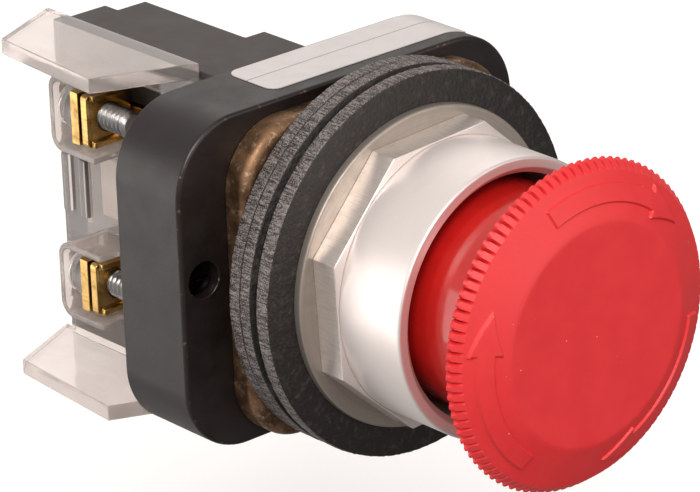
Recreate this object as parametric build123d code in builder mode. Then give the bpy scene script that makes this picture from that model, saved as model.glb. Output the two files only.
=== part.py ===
"""Emergency stop button: a panel operator with a mushroom head and one contact block.

The operator's axis is Y.  The head points towards -Y, +X is to the right seen from the
front, and +Z is up.  The origin is the centre of the panel seat, the front face of the
mounting flange, where the back of the control panel comes to rest.  Millimetres.
"""
from math import cos, pi, radians, sin
import os

from build123d import *

os.makedirs("parts", exist_ok=True)

# ---------------------------------------------------------------- driving dimensions
# motion of the head
push_travel = 5.0  # how far the head goes in
twist_angle = 45.0  # how far the head turns to let go, clockwise seen from the front

# mushroom head
head_dia = 40.0
face_dia = 37.8  # outer edge of the conical face
disc_dia = 27.2  # flat disc in the middle of the face
head_ahead = 33.0  # widest edge of the head, ahead of the panel seat
disc_proud = 3.75  # flat disc ahead of the widest edge
face_proud = 1.5  # outer edge of the conical face ahead of the widest edge
back_taper = 0.8  # the rim slopes in this far behind the widest edge
head_thickness = 5.55  # from the flat disc to the seat of the neck
tooth_count = 100
tooth_root_dia = 38.1
arrow_rise = 0.35

# neck, stem and latch
neck_gap = 1.25  # radial, between the neck and the guard collar
neck_wall = 2.2
neck_web = 3.2
spigot_dia = 20.0  # neck's spigot in the head
spigot_length = 2.0
stem_dia = 8.0
guide_dia = 19.1  # stem's guide collar
guide_length = 2.4
pin_dia = 1.5
journal_dia = 5.0  # stem's rear end, in the actuator plate
clip_dia = 7.0
clip_thickness = 0.5

# clamping parts between the panel seat and the ring nut
panel_hole_dia = 30.5
thread_dia = 30.0
gasket_dia = 47.7
rear_gasket_thickness = 1.9
middle_gasket_thickness = 1.8
spacer_dia = 43.4
spacer_thickness = 1.1
front_gasket_thickness = 2.1
washer_dia = 39.6
washer_thickness = 1.2
nut_corner_dia = 37.5  # octagon, across its corners
nut_turn = 2.8  # how far the nut stands turned, degrees
nut_thickness = 3.8
shroud_dia = 34.3
shroud_length = 10.2
shroud_bevel = 0.8

# mounting bushing
flange_width = 41.6
flange_height = 40.0
flange_corner = 8.0
flange_thickness = 3.4
flange_edge = 1.2
barrel_wall = 2.5
barrel_past_nut = 0.7
barrel_web = 3.5
bush_wall = 2.45
bush_rim = 0.8
retainer_thickness = 1.0

# return spring
spring_dia = 14.0  # at the middle of the wire
spring_wire = 0.9
spring_turns = 4

# housing
housing_width = 52.8
housing_height = 41.75
housing_depth = 11.4
housing_corner = 9.0
housing_x = -1.5  # housing's centre, beside the operator's axis
housing_z = 0.67
housing_wall = 1.6
housing_front_wall = 1.6
housing_edge = 0.5
housing_screw_x = housing_width / 2 - 3.4  # either side of the housing's centre
housing_screw_z = 2.4
housing_screw_dia = 2.2
housing_screw_head = 3.9
housing_screw_sink = 1.2
cover_thickness = 1.6
pad_height = 0.6  # block seats stand proud of the cover
pad_top = 17.6  # block seats end this far above and below the axis
actuator_width = 34.0
actuator_height = 24.0
actuator_thickness = 1.4
actuator_gap = 0.3

# label
label_left = -11.0
label_right = 20.6
label_width = 8.5
label_inset = 0.5  # from the housing's rear edge
label_thickness = 0.15

# contact block
block_width = 12.7
block_height = 41.0
block_depth = 31.6
block_right = 0.7  # its right side, where the next block meets it
block_wall = 1.5
step_width = 4.35  # right part of the block's rear face, set back
step_depth = 2.5
foot_width = 3.0
foot_height = 6.0
foot_depth = 9.8
cavity_height = 26.4
cover_plate = 1.2  # clear cover's side wall
block_screw_z = 15.5
block_screw_dia = 3.0
block_thread_core = 2.4
block_screw_head = 5.2
block_screw_head_height = 2.2

# plunger and contacts
plunger_width = 3.6
plunger_height = 10.0
frame_width = 6.8
frame_height = 12.0
frame_front = 22.0
frame_length = 10.5
bridge_width = 4.4
bridge_thickness = 1.0
contact_pad = 0.4
strip_thickness = 1.2
tab_thickness = 1.5
upper_terminal_z = 12.2
lower_terminal_z = -9.8
terminal_reach = 2.3  # terminal screws stand this far outside the block's left side
tab_y = 34.7
terminal_size = 6.8
clamp_thickness = 1.2
clamp_gap = 0.5
clamp_travel = 2.4
terminal_screw_dia = 3.5
terminal_head_dia = 6.2
terminal_head_height = 2.0
screw_tip_y = 28.3
plunger_spring_dia = 4.2
plunger_spring_wire = 0.6
plunger_spring_turns = 7
contact_spring_wire = 0.45
contact_spring_turns = 4

# terminal guards of the clear cover
wing_thickness = 2.0
wing_reach = 12.6  # past the side wall at its front end
wing_front = 19.5
wing_rear = 48.8
wing_slant = 5.0
wing_flare = 1.4
pocket_wall = 0.8
pocket_reach = 6.0
pocket_front = 31.6
pocket_rear = 40.0
pocket_clear = 0.75

# clearances
running = 0.05  # radial, between a shaft and its bore
seated = 0.05  # radial, between parts that are pushed together once
free = 0.3  # between moving parts that must not rub

# ---------------------------------------------------------------- places along the axis
y_rear_gasket = -rear_gasket_thickness
y_middle_gasket = y_rear_gasket - middle_gasket_thickness
y_spacer = y_middle_gasket - spacer_thickness
y_front_gasket = y_spacer - front_gasket_thickness
y_washer = y_front_gasket - washer_thickness
y_nut = y_washer - nut_thickness
y_rim = y_nut - shroud_length
y_barrel = y_nut - barrel_past_nut
y_bore_floor = flange_thickness + housing_front_wall - barrel_web
y_retainer = y_barrel + retainer_thickness
y_guide = y_retainer + guide_length
y_neck_back = y_barrel - push_travel - 0.6
y_disc = -head_ahead - disc_proud
y_neck_seat = y_disc + head_thickness
y_housing = flange_thickness
y_housing_back = y_housing + housing_depth
y_inside = y_housing + housing_front_wall
y_cover = y_housing_back - pad_height - cover_thickness
y_actuator = y_inside + actuator_gap
y_actuator_back = y_actuator + actuator_thickness
y_plunger_tip = y_actuator_back + 0.1
y_block_back = y_housing_back + block_depth
y_step_back = y_block_back - step_depth
y_cavity_back = y_step_back - block_wall
barrel_bore = thread_dia - 2 * barrel_wall
sleeve_dia = barrel_bore - 2 * seated
sleeve_bore = guide_dia + 2 * running  # the sleeve fills the space around the guide collar
sleeve_wall = (sleeve_dia - sleeve_bore) / 2
bush_dia = stem_dia + 2 * running + 2 * bush_wall
nut_bore = thread_dia + 2 * seated
neck_dia = nut_bore - 2 * neck_gap
x_block = block_right - block_width / 2
x_block_left = block_right - block_width
x_base_left = x_block_left + cover_plate
terminal_x = x_block_left - terminal_reach
x_next_block = block_right + block_width / 2
y_arm = frame_front + 1.5
y_bridge = y_arm + strip_thickness + 2 * contact_pad
y_window_back = y_bridge + 4.3
y_spring_seat = frame_front + frame_length - 1.9


def across(y):
    """Plane across the axis at y: local x is X, local y is Z; it faces forward."""
    return Plane.XZ.offset(-y)


def save(piece, name):
    """Label a finished piece and write its STEP file."""
    piece.part.label = name
    export_step(piece.part, f"parts/{name}.step")


def ring_profile(inner_dia, outer_dia, y_front, y_back):
    """Half section of a ring, drawn with the radius along X."""
    with Locations(((inner_dia + outer_dia) / 4, (y_front + y_back) / 2)):
        Rectangle((outer_dia - inner_dia) / 2, y_back - y_front)


def make_ring(name, inner_dia, outer_dia, y_front, y_back, edge=0.0):
    """A plain ring about the operator's axis, its outer edges broken by edge."""
    with BuildPart() as ring:
        with BuildSketch(Plane.XY):
            ring_profile(inner_dia, outer_dia, y_front, y_back)
        revolve(axis=Axis.Y)
        if edge > 0:
            outer = ring.edges().filter_by(GeomType.CIRCLE).sort_by(SortBy.RADIUS)[-2:]
            chamfer(outer, edge)
    save(ring, name)


def make_coil(name, x, y_front, y_back, mean_dia, wire, turns):
    """A compression spring along Y, its wire's ends resting inside both seats."""
    rise = (y_back - y_front - wire) / turns
    first = (x, y_front + wire / 2, 0)
    path = Helix(rise, rise * turns, mean_dia / 2, center=first, direction=(0, 1, 0))
    with BuildPart() as coil:
        with BuildSketch(Plane(origin=path @ 0, z_dir=path % 0)):
            Circle(wire / 2)
        sweep(path=path, is_frenet=True)
    save(coil, name)


# ---------------------------------------------------------------- head and neck
def face_outline(rise=0.0):
    """Half section of the head's crown: flat disc, cone, toothed rim and underside."""
    r_disc, r_face, r_head = disc_dia / 2, face_dia / 2, head_dia / 2
    Polyline(
        (0, y_neck_seat - rise),
        (0, y_disc - rise),
        (r_disc, y_disc - rise),
        (r_face, -head_ahead - face_proud - rise),
        (r_head, -head_ahead - rise),
        (r_head - 0.9, -head_ahead + back_taper - rise),
        (neck_dia / 2 + 1.0, y_neck_seat - rise),
        (0, y_neck_seat - rise),
    )


def arrow_outline(tail, spin):
    """A curved arrow between two arcs about the axis, drawn clockwise from tail, degrees."""
    shaft, point = spin * 0.76, spin
    inner, middle, outer = 15.4, 16.5, 17.6

    def on_circle(radius, angle):
        return radius * cos(radians(angle)), radius * sin(radians(angle))

    CenterArc((0, 0), outer, tail, -shaft)
    Polyline(
        on_circle(outer, tail - shaft),
        on_circle(outer + 0.9, tail - shaft + 1.0),
        on_circle(middle, tail - point),
        on_circle(inner - 1.3, tail - shaft + 1.0),
        on_circle(inner, tail - shaft),
    )
    CenterArc((0, 0), inner, tail - shaft, shaft)
    Line(on_circle(inner, tail), on_circle(outer, tail))


with BuildPart() as raised_arrows:
    with BuildSketch(across(y_disc - 1)):
        for arrow in range(3):
            with BuildLine():
                arrow_outline(111 - 120 * arrow, 77)
            make_face()
    extrude(amount=-disc_proud - 2)
    with BuildSketch(Plane.XY):
        with BuildLine():
            face_outline(arrow_rise)
        make_face()
    revolve(axis=Axis.Y, mode=Mode.INTERSECT)

with BuildPart() as mushroom_head:
    with BuildSketch(Plane.XY):
        with BuildLine():
            face_outline()
        make_face()
    revolve(axis=Axis.Y)
    # teeth: everything outside a star prism is cut off, so they fade out on the cone
    with BuildSketch(across(y_disc - 1)):
        Circle(head_dia)
        with BuildLine():
            star = []
            for tooth in range(tooth_count):
                for share, diameter in ((0.0, head_dia + 1), (0.45, head_dia + 1), (0.725, tooth_root_dia)):
                    turn = 2 * pi * (tooth + share) / tooth_count
                    star.append((diameter / 2 * cos(turn), diameter / 2 * sin(turn)))
            Polyline(*star, close=True)
        make_face(mode=Mode.SUBTRACT)
    extrude(amount=-head_thickness - 2, mode=Mode.SUBTRACT)
    add(raised_arrows.part)
    with BuildSketch(Plane.XY):
        ring_profile(0, spigot_dia + 2 * seated, y_neck_seat - spigot_length - seated, y_neck_seat)
        ring_profile(0, stem_dia + 2 * seated, y_neck_seat - spigot_length - 1.4, y_neck_seat)
    revolve(axis=Axis.Y, mode=Mode.SUBTRACT)
save(mushroom_head, "mushroom_head")

with BuildPart() as head_neck:
    with BuildSketch(Plane.XY):
        ring_profile(0, neck_dia, y_neck_seat, y_neck_back)
        ring_profile(0, spigot_dia, y_neck_seat - spigot_length, y_neck_seat)
    revolve(axis=Axis.Y)
    with BuildSketch(Plane.XY):
        ring_profile(0, stem_dia + 2 * seated, y_neck_seat - spigot_length, y_neck_back)
        ring_profile(0, neck_dia - 2 * neck_wall, y_neck_seat + neck_web, y_neck_back)
    revolve(axis=Axis.Y, mode=Mode.SUBTRACT)
save(head_neck, "head_neck")

# ---------------------------------------------------------------- stem and latch
y_pin = y_retainer + guide_length / 2
y_stem_end = y_actuator_back + clip_thickness + 0.3
y_clip = y_actuator_back + 0.05

with BuildPart() as operator_stem:
    with BuildSketch(Plane.XY):
        ring_profile(0, stem_dia, y_neck_seat - spigot_length - 1.3, y_actuator)
        ring_profile(0, guide_dia, y_retainer, y_guide)
        ring_profile(0, journal_dia, y_actuator, y_stem_end)
    revolve(axis=Axis.Y)
    with BuildSketch(Plane.XY):
        ring_profile(journal_dia - 1.2, journal_dia + 1, y_clip, y_clip + clip_thickness)
    revolve(axis=Axis.Y, mode=Mode.SUBTRACT)
    with BuildSketch(Plane.YZ):
        with Locations((y_pin, 0)):
            Circle(pin_dia / 2 + seated)
    extrude(amount=guide_dia, both=True, mode=Mode.SUBTRACT)
save(operator_stem, "operator_stem")

pin_reach = sleeve_bore / 2 + sleeve_wall * 0.7

with BuildPart() as latch_pin:
    with BuildSketch(Plane.YZ):
        with Locations((y_pin, 0)):
            Circle(pin_dia / 2)
    extrude(amount=pin_reach, both=True)
save(latch_pin, "latch_pin")

with BuildPart() as latch_sleeve:
    with BuildSketch(Plane.XY):
        ring_profile(sleeve_bore, sleeve_dia, y_retainer, y_bore_floor)
    revolve(axis=Axis.Y)
    # windows in which the cross pin slides in and turns
    window_front = y_pin - pin_dia / 2 - free
    window_back = y_pin + push_travel + pin_dia / 2 + free
    side_play = pin_dia / 2 + free
    slot_middle = (window_front + window_back) / 2
    slot_length = window_back - window_front
    for side in (0, 180):
        for step in range(10):
            turned = Plane.YZ.rotated((0, side + twist_angle * step / 9, 0))
            with BuildSketch(turned):
                with Locations((slot_middle, 0)):
                    Rectangle(slot_length, 2 * side_play)
            extrude(amount=sleeve_dia, mode=Mode.SUBTRACT)
save(latch_sleeve, "latch_sleeve")

with BuildPart() as stem_clip:
    with BuildSketch(across(y_clip)):
        Circle(clip_dia / 2)
        Circle(journal_dia / 2 - 0.6 + seated, mode=Mode.SUBTRACT)
        with Locations((0, -clip_dia / 2)):
            Rectangle(journal_dia * 0.55, clip_dia, mode=Mode.SUBTRACT)
    extrude(amount=-clip_thickness)
save(stem_clip, "stem_clip")

make_ring("stem_retainer", stem_dia + 2 * free, barrel_bore - 2 * seated, y_barrel, y_retainer)
make_ring("stem_seal", stem_dia + 2 * free, neck_dia - 2 * neck_wall - 2.4, y_barrel - 1.6, y_barrel, 0.4)

with BuildPart() as stem_bush:
    with BuildSketch(Plane.XY):
        ring_profile(stem_dia + 2 * running, bush_dia, y_bore_floor - bush_rim, y_inside)
        ring_profile(stem_dia + 2 * running, spring_dia + 2.4, y_bore_floor - bush_rim, y_bore_floor)
    revolve(axis=Axis.Y)
save(stem_bush, "stem_bush")

make_coil("return_spring", 0, y_guide, y_bore_floor - bush_rim, spring_dia, spring_wire, spring_turns)

# ---------------------------------------------------------------- mounting bushing and clamping parts
with BuildPart() as mounting_bushing:
    with BuildSketch(across(0)):
        RectangleRounded(flange_width, flange_height, flange_corner)
    extrude(amount=-flange_thickness)
    fillet(mounting_bushing.faces().sort_by(Axis.Y)[0].edges(), flange_edge)
    with BuildSketch(Plane.XY):
        ring_profile(0, thread_dia, y_barrel, flange_thickness)
        ring_profile(0, bush_dia + 5, flange_thickness, y_inside)
    revolve(axis=Axis.Y)
    with BuildSketch(Plane.XY):
        ring_profile(0, barrel_bore, y_barrel, y_bore_floor)
        ring_profile(0, bush_dia + 2 * seated, y_bore_floor, y_inside)
    revolve(axis=Axis.Y, mode=Mode.SUBTRACT)
save(mounting_bushing, "mounting_bushing")

make_ring("rear_gasket", panel_hole_dia, gasket_dia, y_rear_gasket, 0)
make_ring("middle_gasket", panel_hole_dia, gasket_dia, y_middle_gasket, y_rear_gasket)
make_ring("gasket_spacer", panel_hole_dia, spacer_dia, y_spacer, y_middle_gasket)
make_ring("front_gasket", panel_hole_dia, gasket_dia, y_front_gasket, y_spacer)
make_ring("thrust_washer", panel_hole_dia, washer_dia, y_washer, y_front_gasket, 0.3)

with BuildPart() as ring_nut:
    with BuildSketch(across(y_washer)):
        RegularPolygon(nut_corner_dia / 2, 8, rotation=22.5 + nut_turn)
    extrude(amount=nut_thickness)
    with BuildSketch(across(y_nut)):
        Circle(shroud_dia / 2)
    extrude(amount=shroud_length)
    rim = ring_nut.faces().sort_by(Axis.Y)[0].edges()
    fillet(rim, 0.5)
    with BuildSketch(across(y_washer)):
        Circle(nut_bore / 2)
    extrude(amount=nut_thickness + shroud_length, mode=Mode.SUBTRACT)
    chamfer(ring_nut.faces().sort_by(Axis.Y)[0].inner_wires()[0].edges(), shroud_bevel)
save(ring_nut, "ring_nut")


# ---------------------------------------------------------------- housing
def housing_outline(inset=0.0):
    """The housing's rounded outline, drawn smaller by inset all round."""
    with Locations((housing_x, housing_z)):
        RectangleRounded(housing_width - 2 * inset, housing_height - 2 * inset, housing_corner - inset)


def housing_outline_face():
    """The housing's outline as a face of its own."""
    with BuildSketch(mode=Mode.PRIVATE) as outline:
        housing_outline()
    return outline.sketch


def housing_screw_places():
    """Centres of the two housing screws in the plane across the axis."""
    return [(housing_x - housing_screw_x, housing_screw_z), (housing_x + housing_screw_x, housing_screw_z)]


post_dia = housing_screw_head + 2.4

with BuildPart() as operator_housing:
    with BuildSketch(across(y_housing)):
        housing_outline()
    extrude(amount=-housing_depth)
    fillet(operator_housing.faces().sort_by(Axis.Y)[0].edges(), housing_edge)
    with BuildSketch(across(y_inside)):
        housing_outline(housing_wall)
        with Locations(*housing_screw_places()):
            Circle(post_dia / 2, mode=Mode.SUBTRACT)
    extrude(amount=-housing_depth, mode=Mode.SUBTRACT)
    with BuildSketch(across(y_cover)):
        housing_outline(housing_wall)
    extrude(amount=-housing_depth, mode=Mode.SUBTRACT)
    with BuildSketch(across(y_housing)):
        Circle(bush_dia / 2 + 2.5 + seated)
    extrude(amount=-housing_front_wall, mode=Mode.SUBTRACT)
    with Locations(*[across(y_housing) * Pos(x, z) for x, z in housing_screw_places()]):
        CounterBoreHole(
            housing_screw_dia / 2 + seated,
            housing_screw_head / 2 + free,
            housing_screw_sink + 1.4,
            depth=housing_depth,
        )
save(operator_housing, "operator_housing")

with BuildPart() as housing_screws:
    with BuildSketch(across(y_housing + housing_screw_sink)):
        with Locations(*housing_screw_places()):
            Circle(housing_screw_head / 2)
    extrude(amount=-1.4)
    with BuildSketch(across(y_housing + housing_screw_sink + 1.4)):
        with Locations(*housing_screw_places()):
            Circle(housing_screw_dia / 2)
    extrude(amount=housing_screw_sink + 1.4 - (y_cover + cover_thickness - 0.2 - y_housing))
    # one straight slot across each head
    with BuildSketch(across(y_housing + housing_screw_sink)):
        with Locations(*housing_screw_places()):
            Rectangle(housing_screw_head + 1, 0.7)
    extrude(amount=-0.6, mode=Mode.SUBTRACT)
save(housing_screws, "housing_screws")

pad_inner = foot_width + 0.5  # the seat starts beside the neighbour's foot

with BuildPart() as housing_cover:
    with BuildSketch(across(y_cover)):
        housing_outline(housing_wall + 0.1)
    extrude(amount=-cover_thickness)
    with BuildSketch(across(y_cover + cover_thickness)):
        for side in (-1, 1):
            with Locations((block_right + side * (pad_inner + block_width - 0.2) / 2, 0)):
                Rectangle(block_width - 0.2 - pad_inner, 2 * pad_top)
    extrude(amount=-pad_height)
    cover_depth = cover_thickness + pad_height
    with BuildSketch(across(y_cover)):
        with Locations((x_block, 0), (x_next_block, 0)):
            Rectangle(plunger_width + 2 * free + 0.4, plunger_height + 2 * free + 0.4)
        for z in (-block_screw_z, block_screw_z):
            with Locations((x_block, z), (x_next_block, z)):
                Circle(block_thread_core / 2 + seated)
        with Locations(*housing_screw_places()):
            Circle(housing_screw_dia / 2 + seated)
    extrude(amount=-cover_depth, mode=Mode.SUBTRACT)
save(housing_cover, "housing_cover")

with BuildPart() as actuator_plate:
    with BuildSketch(across(y_actuator)):
        RectangleRounded(actuator_width, actuator_height, 3)
        Circle(journal_dia / 2 + running, mode=Mode.SUBTRACT)
    extrude(amount=-actuator_thickness)
save(actuator_plate, "actuator_plate")

label_y = y_housing_back - label_inset - label_width

with BuildPart() as label_plate:
    # a thin skin that follows the housing's top and the start of its right corner
    with BuildSketch(across(label_y)):
        housing_outline(-label_thickness)
        add(housing_outline_face(), mode=Mode.SUBTRACT)
    extrude(amount=-label_width)
    top = housing_z + housing_height / 2
    with BuildSketch(Plane.XY.offset(top - housing_corner)):
        with Locations(((label_left + label_right) / 2, label_y + label_width / 2)):
            RectangleRounded(label_right - label_left, label_width, 1.6)
    extrude(amount=2 * housing_corner, mode=Mode.INTERSECT)
save(label_plate, "label_plate")

# ---------------------------------------------------------------- contact block
x_foot = block_right + foot_width / 2
z_foot = block_height / 2 - foot_height / 2
y_cavity = y_housing_back + block_wall
x_cavity_right = block_right - block_wall
channel_width = plunger_width + 2 * free
channel_height = plunger_height + 2 * free


def box_between(x_low, x_high, y_low, y_high, z_low, z_high):
    """A block given by its two corners, added to the part being built."""
    with Locations(((x_low + x_high) / 2, (y_low + y_high) / 2, (z_low + z_high) / 2)):
        Box(x_high - x_low, y_high - y_low, z_high - z_low)


def cut_between(x_low, x_high, y_low, y_high, z_low, z_high):
    """A block given by its two corners, cut from the part being built."""
    with Locations(((x_low + x_high) / 2, (y_low + y_high) / 2, (z_low + z_high) / 2)):
        Box(x_high - x_low, y_high - y_low, z_high - z_low, mode=Mode.SUBTRACT)


half_block = block_height / 2
half_cavity = cavity_height / 2

with BuildPart() as block_base:
    box_between(x_base_left, block_right, y_housing_back, y_block_back, -half_block, half_block)
    # the right part of the rear face is set back
    x_step = block_right - step_width
    cut_between(x_step, block_right, y_step_back, y_block_back, -half_block, half_block)
    # foot that keys into the next block, and the notch for that block's own foot
    y_foot_back = y_housing_back + foot_depth
    box_between(
        block_right,
        block_right + foot_width,
        y_housing_back,
        y_foot_back,
        half_block - foot_height,
        half_block,
    )
    cut_between(
        block_right - foot_width - free,
        block_right,
        y_housing_back,
        y_foot_back + free,
        -half_block,
        -half_block + foot_height + free,
    )
    # cavity for the contacts, open on the left, and the plunger's channel to the front
    cut_between(x_base_left, x_cavity_right, y_cavity, y_cavity_back, -half_cavity, half_cavity)
    cut_between(
        x_block - channel_width / 2,
        x_block + channel_width / 2,
        y_housing_back,
        y_cavity,
        -channel_height / 2,
        channel_height / 2,
    )
    # screw holes from the rear, with wells for the heads
    for z in (-block_screw_z, block_screw_z):
        with Locations(across(y_block_back) * Pos(x_block, z) * Rot(0, 180, 0)):
            CounterBoreHole(
                block_screw_dia / 2 + seated,
                block_screw_head / 2 + free,
                step_depth,
                depth=block_depth,
            )
save(block_base, "block_base")

with BuildPart() as block_screws:
    y_head = y_block_back - step_depth
    y_core = y_housing_back + 0.1
    for z in (-block_screw_z, block_screw_z):
        with BuildSketch(across(y_head + block_screw_head_height)):
            with Locations((x_block, z)):
                Circle(block_screw_head / 2)
        extrude(amount=block_screw_head_height)
        with BuildSketch(across(y_head)):
            with Locations((x_block, z)):
                Circle(block_screw_dia / 2)
        extrude(amount=y_head - y_core)
        with BuildSketch(across(y_core)):
            with Locations((x_block, z)):
                Circle(block_thread_core / 2)
        extrude(amount=y_core - y_cover - 0.1)
        with BuildSketch(across(y_head + block_screw_head_height)):
            with Locations((x_block, z)):
                Rectangle(block_screw_head + 1, 0.9)
        extrude(amount=1.0, mode=Mode.SUBTRACT)
save(block_screws, "block_screws")

with BuildPart() as contact_plunger:
    half_stem, half_frame = plunger_width / 2, frame_width / 2
    y_frame_back = frame_front + frame_length
    box_between(
        x_block - half_stem,
        x_block + half_stem,
        y_plunger_tip,
        frame_front,
        -plunger_height / 2,
        plunger_height / 2,
    )
    box_between(
        x_block - half_frame,
        x_block + half_frame,
        frame_front,
        y_frame_back,
        -frame_height / 2,
        frame_height / 2,
    )
    # window for the bridge and its spring
    half_bridge = bridge_width / 2 + 0.15
    cut_between(
        x_block - half_bridge,
        x_block + half_bridge,
        y_bridge,
        y_window_back,
        -frame_height,
        frame_height,
    )
    # seat for the plunger's spring
    with BuildSketch(across(y_frame_back)):
        with Locations((x_block, 0)):
            Circle(plunger_spring_dia / 2 + plunger_spring_wire / 2 + 0.2)
    extrude(amount=y_frame_back - y_spring_seat, mode=Mode.SUBTRACT)
save(contact_plunger, "contact_plunger")

z_upper_contact = upper_terminal_z - 1.6
z_lower_contact = lower_terminal_z
contact_width = 4.0

with BuildPart() as contact_bridge:
    box_between(
        x_block - bridge_width / 2,
        x_block + bridge_width / 2,
        y_bridge,
        y_bridge + bridge_thickness,
        z_lower_contact - contact_width / 2,
        z_upper_contact + contact_width / 2,
    )
    # silver faces that meet the fixed contacts
    with BuildSketch(across(y_bridge)):
        with Locations((x_block, z_lower_contact), (x_block, z_upper_contact)):
            Circle(contact_width * 0.42)
    extrude(amount=contact_pad)
save(contact_bridge, "contact_bridge")

make_coil(
    "contact_spring",
    x_block,
    y_bridge + bridge_thickness,
    y_window_back,
    bridge_width - 1.0,
    contact_spring_wire,
    contact_spring_turns,
)
make_coil(
    "plunger_spring",
    x_block,
    y_spring_seat,
    y_cavity_back,
    plunger_spring_dia,
    plunger_spring_wire,
    plunger_spring_turns,
)

half_terminal = terminal_size / 2
y_clamp_back = tab_y - clamp_gap
y_clamp = y_clamp_back - clamp_thickness
y_tab_back = tab_y + tab_thickness


def make_terminal(side, z_terminal, z_contact):
    """Fixed contact strip, clamp plate and screw of one terminal."""
    x_riser = x_base_left + 0.1
    z_low, z_high = z_contact - contact_width / 2, z_contact + contact_width / 2
    with BuildPart() as strip:
        z_tab = (z_terminal - half_terminal, z_terminal + half_terminal)
        box_between(terminal_x - half_terminal, x_base_left, tab_y, y_tab_back, *z_tab)
        box_between(x_base_left, x_riser + strip_thickness, tab_y, y_tab_back, z_low, z_high)
        box_between(x_riser, x_riser + strip_thickness, y_arm, y_tab_back, z_low, z_high)
        box_between(x_riser, x_block + contact_width / 2, y_arm, y_arm + strip_thickness, z_low, z_high)
        with BuildSketch(across(y_arm + strip_thickness)):
            with Locations((x_block, z_contact)):
                Circle(contact_width * 0.42)
        extrude(amount=-contact_pad)
        with BuildSketch(across(tab_y)):
            with Locations((terminal_x, z_terminal)):
                Circle(terminal_screw_dia / 2 + 0.15)
        extrude(amount=-tab_thickness, mode=Mode.SUBTRACT)
    save(strip, f"{side}_contact_strip")

    with BuildPart() as clamp:
        with BuildSketch(across(y_clamp)):
            with Locations((terminal_x, z_terminal)):
                RectangleRounded(terminal_size, terminal_size, 0.6)
        extrude(amount=-clamp_thickness)
        # lips that hold the wire in, above and below
        for lip in (-1, 1):
            z_lip = z_terminal + lip * (half_terminal - 0.4)
            box_between(
                terminal_x - half_terminal + 0.6,
                terminal_x + half_terminal - 0.6,
                y_clamp - 0.6,
                y_clamp,
                z_lip - 0.4,
                z_lip + 0.4,
            )
        with BuildSketch(across(y_clamp - 0.6)):
            with Locations((terminal_x, z_terminal)):
                Circle(terminal_screw_dia / 2 + running)
        extrude(amount=-clamp_thickness - 0.6, mode=Mode.SUBTRACT)
    save(clamp, f"{side}_terminal_clamp")

    with BuildPart() as screw:
        with BuildSketch(across(screw_tip_y)):
            with Locations((terminal_x, z_terminal)):
                Circle(terminal_screw_dia / 2)
        extrude(amount=screw_tip_y - y_tab_back)
        chamfer(screw.faces().sort_by(Axis.Y)[0].edges(), 0.4)
        with BuildSketch(across(y_tab_back)):
            with Locations((terminal_x, z_terminal)):
                Circle(terminal_head_dia / 2)
        extrude(amount=-terminal_head_height)
        with BuildSketch(across(y_tab_back + terminal_head_height)):
            with Locations((terminal_x, z_terminal)):
                Rectangle(0.9, terminal_head_dia + 1)
        extrude(amount=0.9, mode=Mode.SUBTRACT)
    save(screw, f"{side}_terminal_screw")


make_terminal("upper", upper_terminal_z, z_upper_contact)
make_terminal("lower", lower_terminal_z, z_lower_contact)

# ---------------------------------------------------------------- clear cover of the block
wing_seat = half_block - 1.0  # underside of the upper wing, inside of the lower one
z_wings = ((wing_seat, wing_seat + wing_thickness), (-half_block - 0.5 - wing_thickness, -half_block - 0.5))


def wing_outline():
    """Plan of a terminal guard: it flares outwards and its rear edge slants forward."""
    x_out = x_block_left - wing_reach + wing_flare
    Polyline(
        (x_base_left, wing_rear),
        (x_out + wing_flare, wing_rear - wing_slant),
        (x_out, wing_front + 5.5),
        (x_base_left, wing_front),
        close=True,
    )


def cup_outline(z_terminal, grow, y_mouth):
    """A terminal's pocket seen from the side: a cup with rounded rear corners, open to the front."""
    half = half_terminal + pocket_clear + grow
    y_bottom = pocket_rear - pocket_wall + grow
    corner = 1.2 + grow
    Polyline(
        (y_bottom - corner, z_terminal - half),
        (y_mouth, z_terminal - half),
        (y_mouth, z_terminal + half),
        (y_bottom - corner, z_terminal + half),
    )
    CenterArc((y_bottom - corner, z_terminal + half - corner), corner, 0, 90)
    Line((y_bottom, z_terminal + half - corner), (y_bottom, z_terminal - half + corner))
    CenterArc((y_bottom - corner, z_terminal - half + corner), corner, 0, -90)


with BuildPart() as block_cover:
    y_plate_back = y_block_back - 0.2
    box_between(
        x_block_left,
        x_base_left,
        y_housing_back + 0.2,
        y_plate_back,
        -half_block - 0.5,
        half_block - 1.0,
    )
    for z_low, z_high in z_wings:
        with BuildSketch(Plane.XY.offset(z_low)):
            with BuildLine():
                wing_outline()
            make_face()
        extrude(amount=z_high - z_low)
    for z_terminal in (upper_terminal_z, lower_terminal_z):
        with BuildSketch(Plane.YZ.offset(x_base_left)):
            with BuildLine():
                cup_outline(z_terminal, pocket_wall, pocket_front)
            make_face()
        extrude(amount=-cover_plate - pocket_reach)
        with BuildSketch(Plane.YZ.offset(x_base_left)):
            with BuildLine():
                cup_outline(z_terminal, 0, pocket_front - 6)
            make_face()
        extrude(amount=-cover_plate - pocket_reach, mode=Mode.SUBTRACT)
        # way in for the screwdriver, from the rear
        with BuildSketch(across(pocket_rear)):
            with Locations((terminal_x, z_terminal)):
                Circle(terminal_head_dia / 2 - 0.4)
        extrude(amount=pocket_wall + 0.5, mode=Mode.SUBTRACT)
    # ribs between the terminals
    for y_rib in (y_plate_back - 1.2, y_plate_back - 4.6):
        box_between(x_block_left - 0.5, x_block_left, y_rib - 0.7, y_rib + 0.7, -4.0, 3.6)
save(block_cover, "block_cover")
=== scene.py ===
"""Looks of the emergency stop button: meshes, finishes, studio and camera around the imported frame."""
import logging
import math
from dataclasses import dataclass, field
from enum import Enum
from typing import Callable, Optional, Protocol, Sequence, Union

import bmesh
import bpy
import numpy as np
from mathutils import Matrix, Vector


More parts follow.
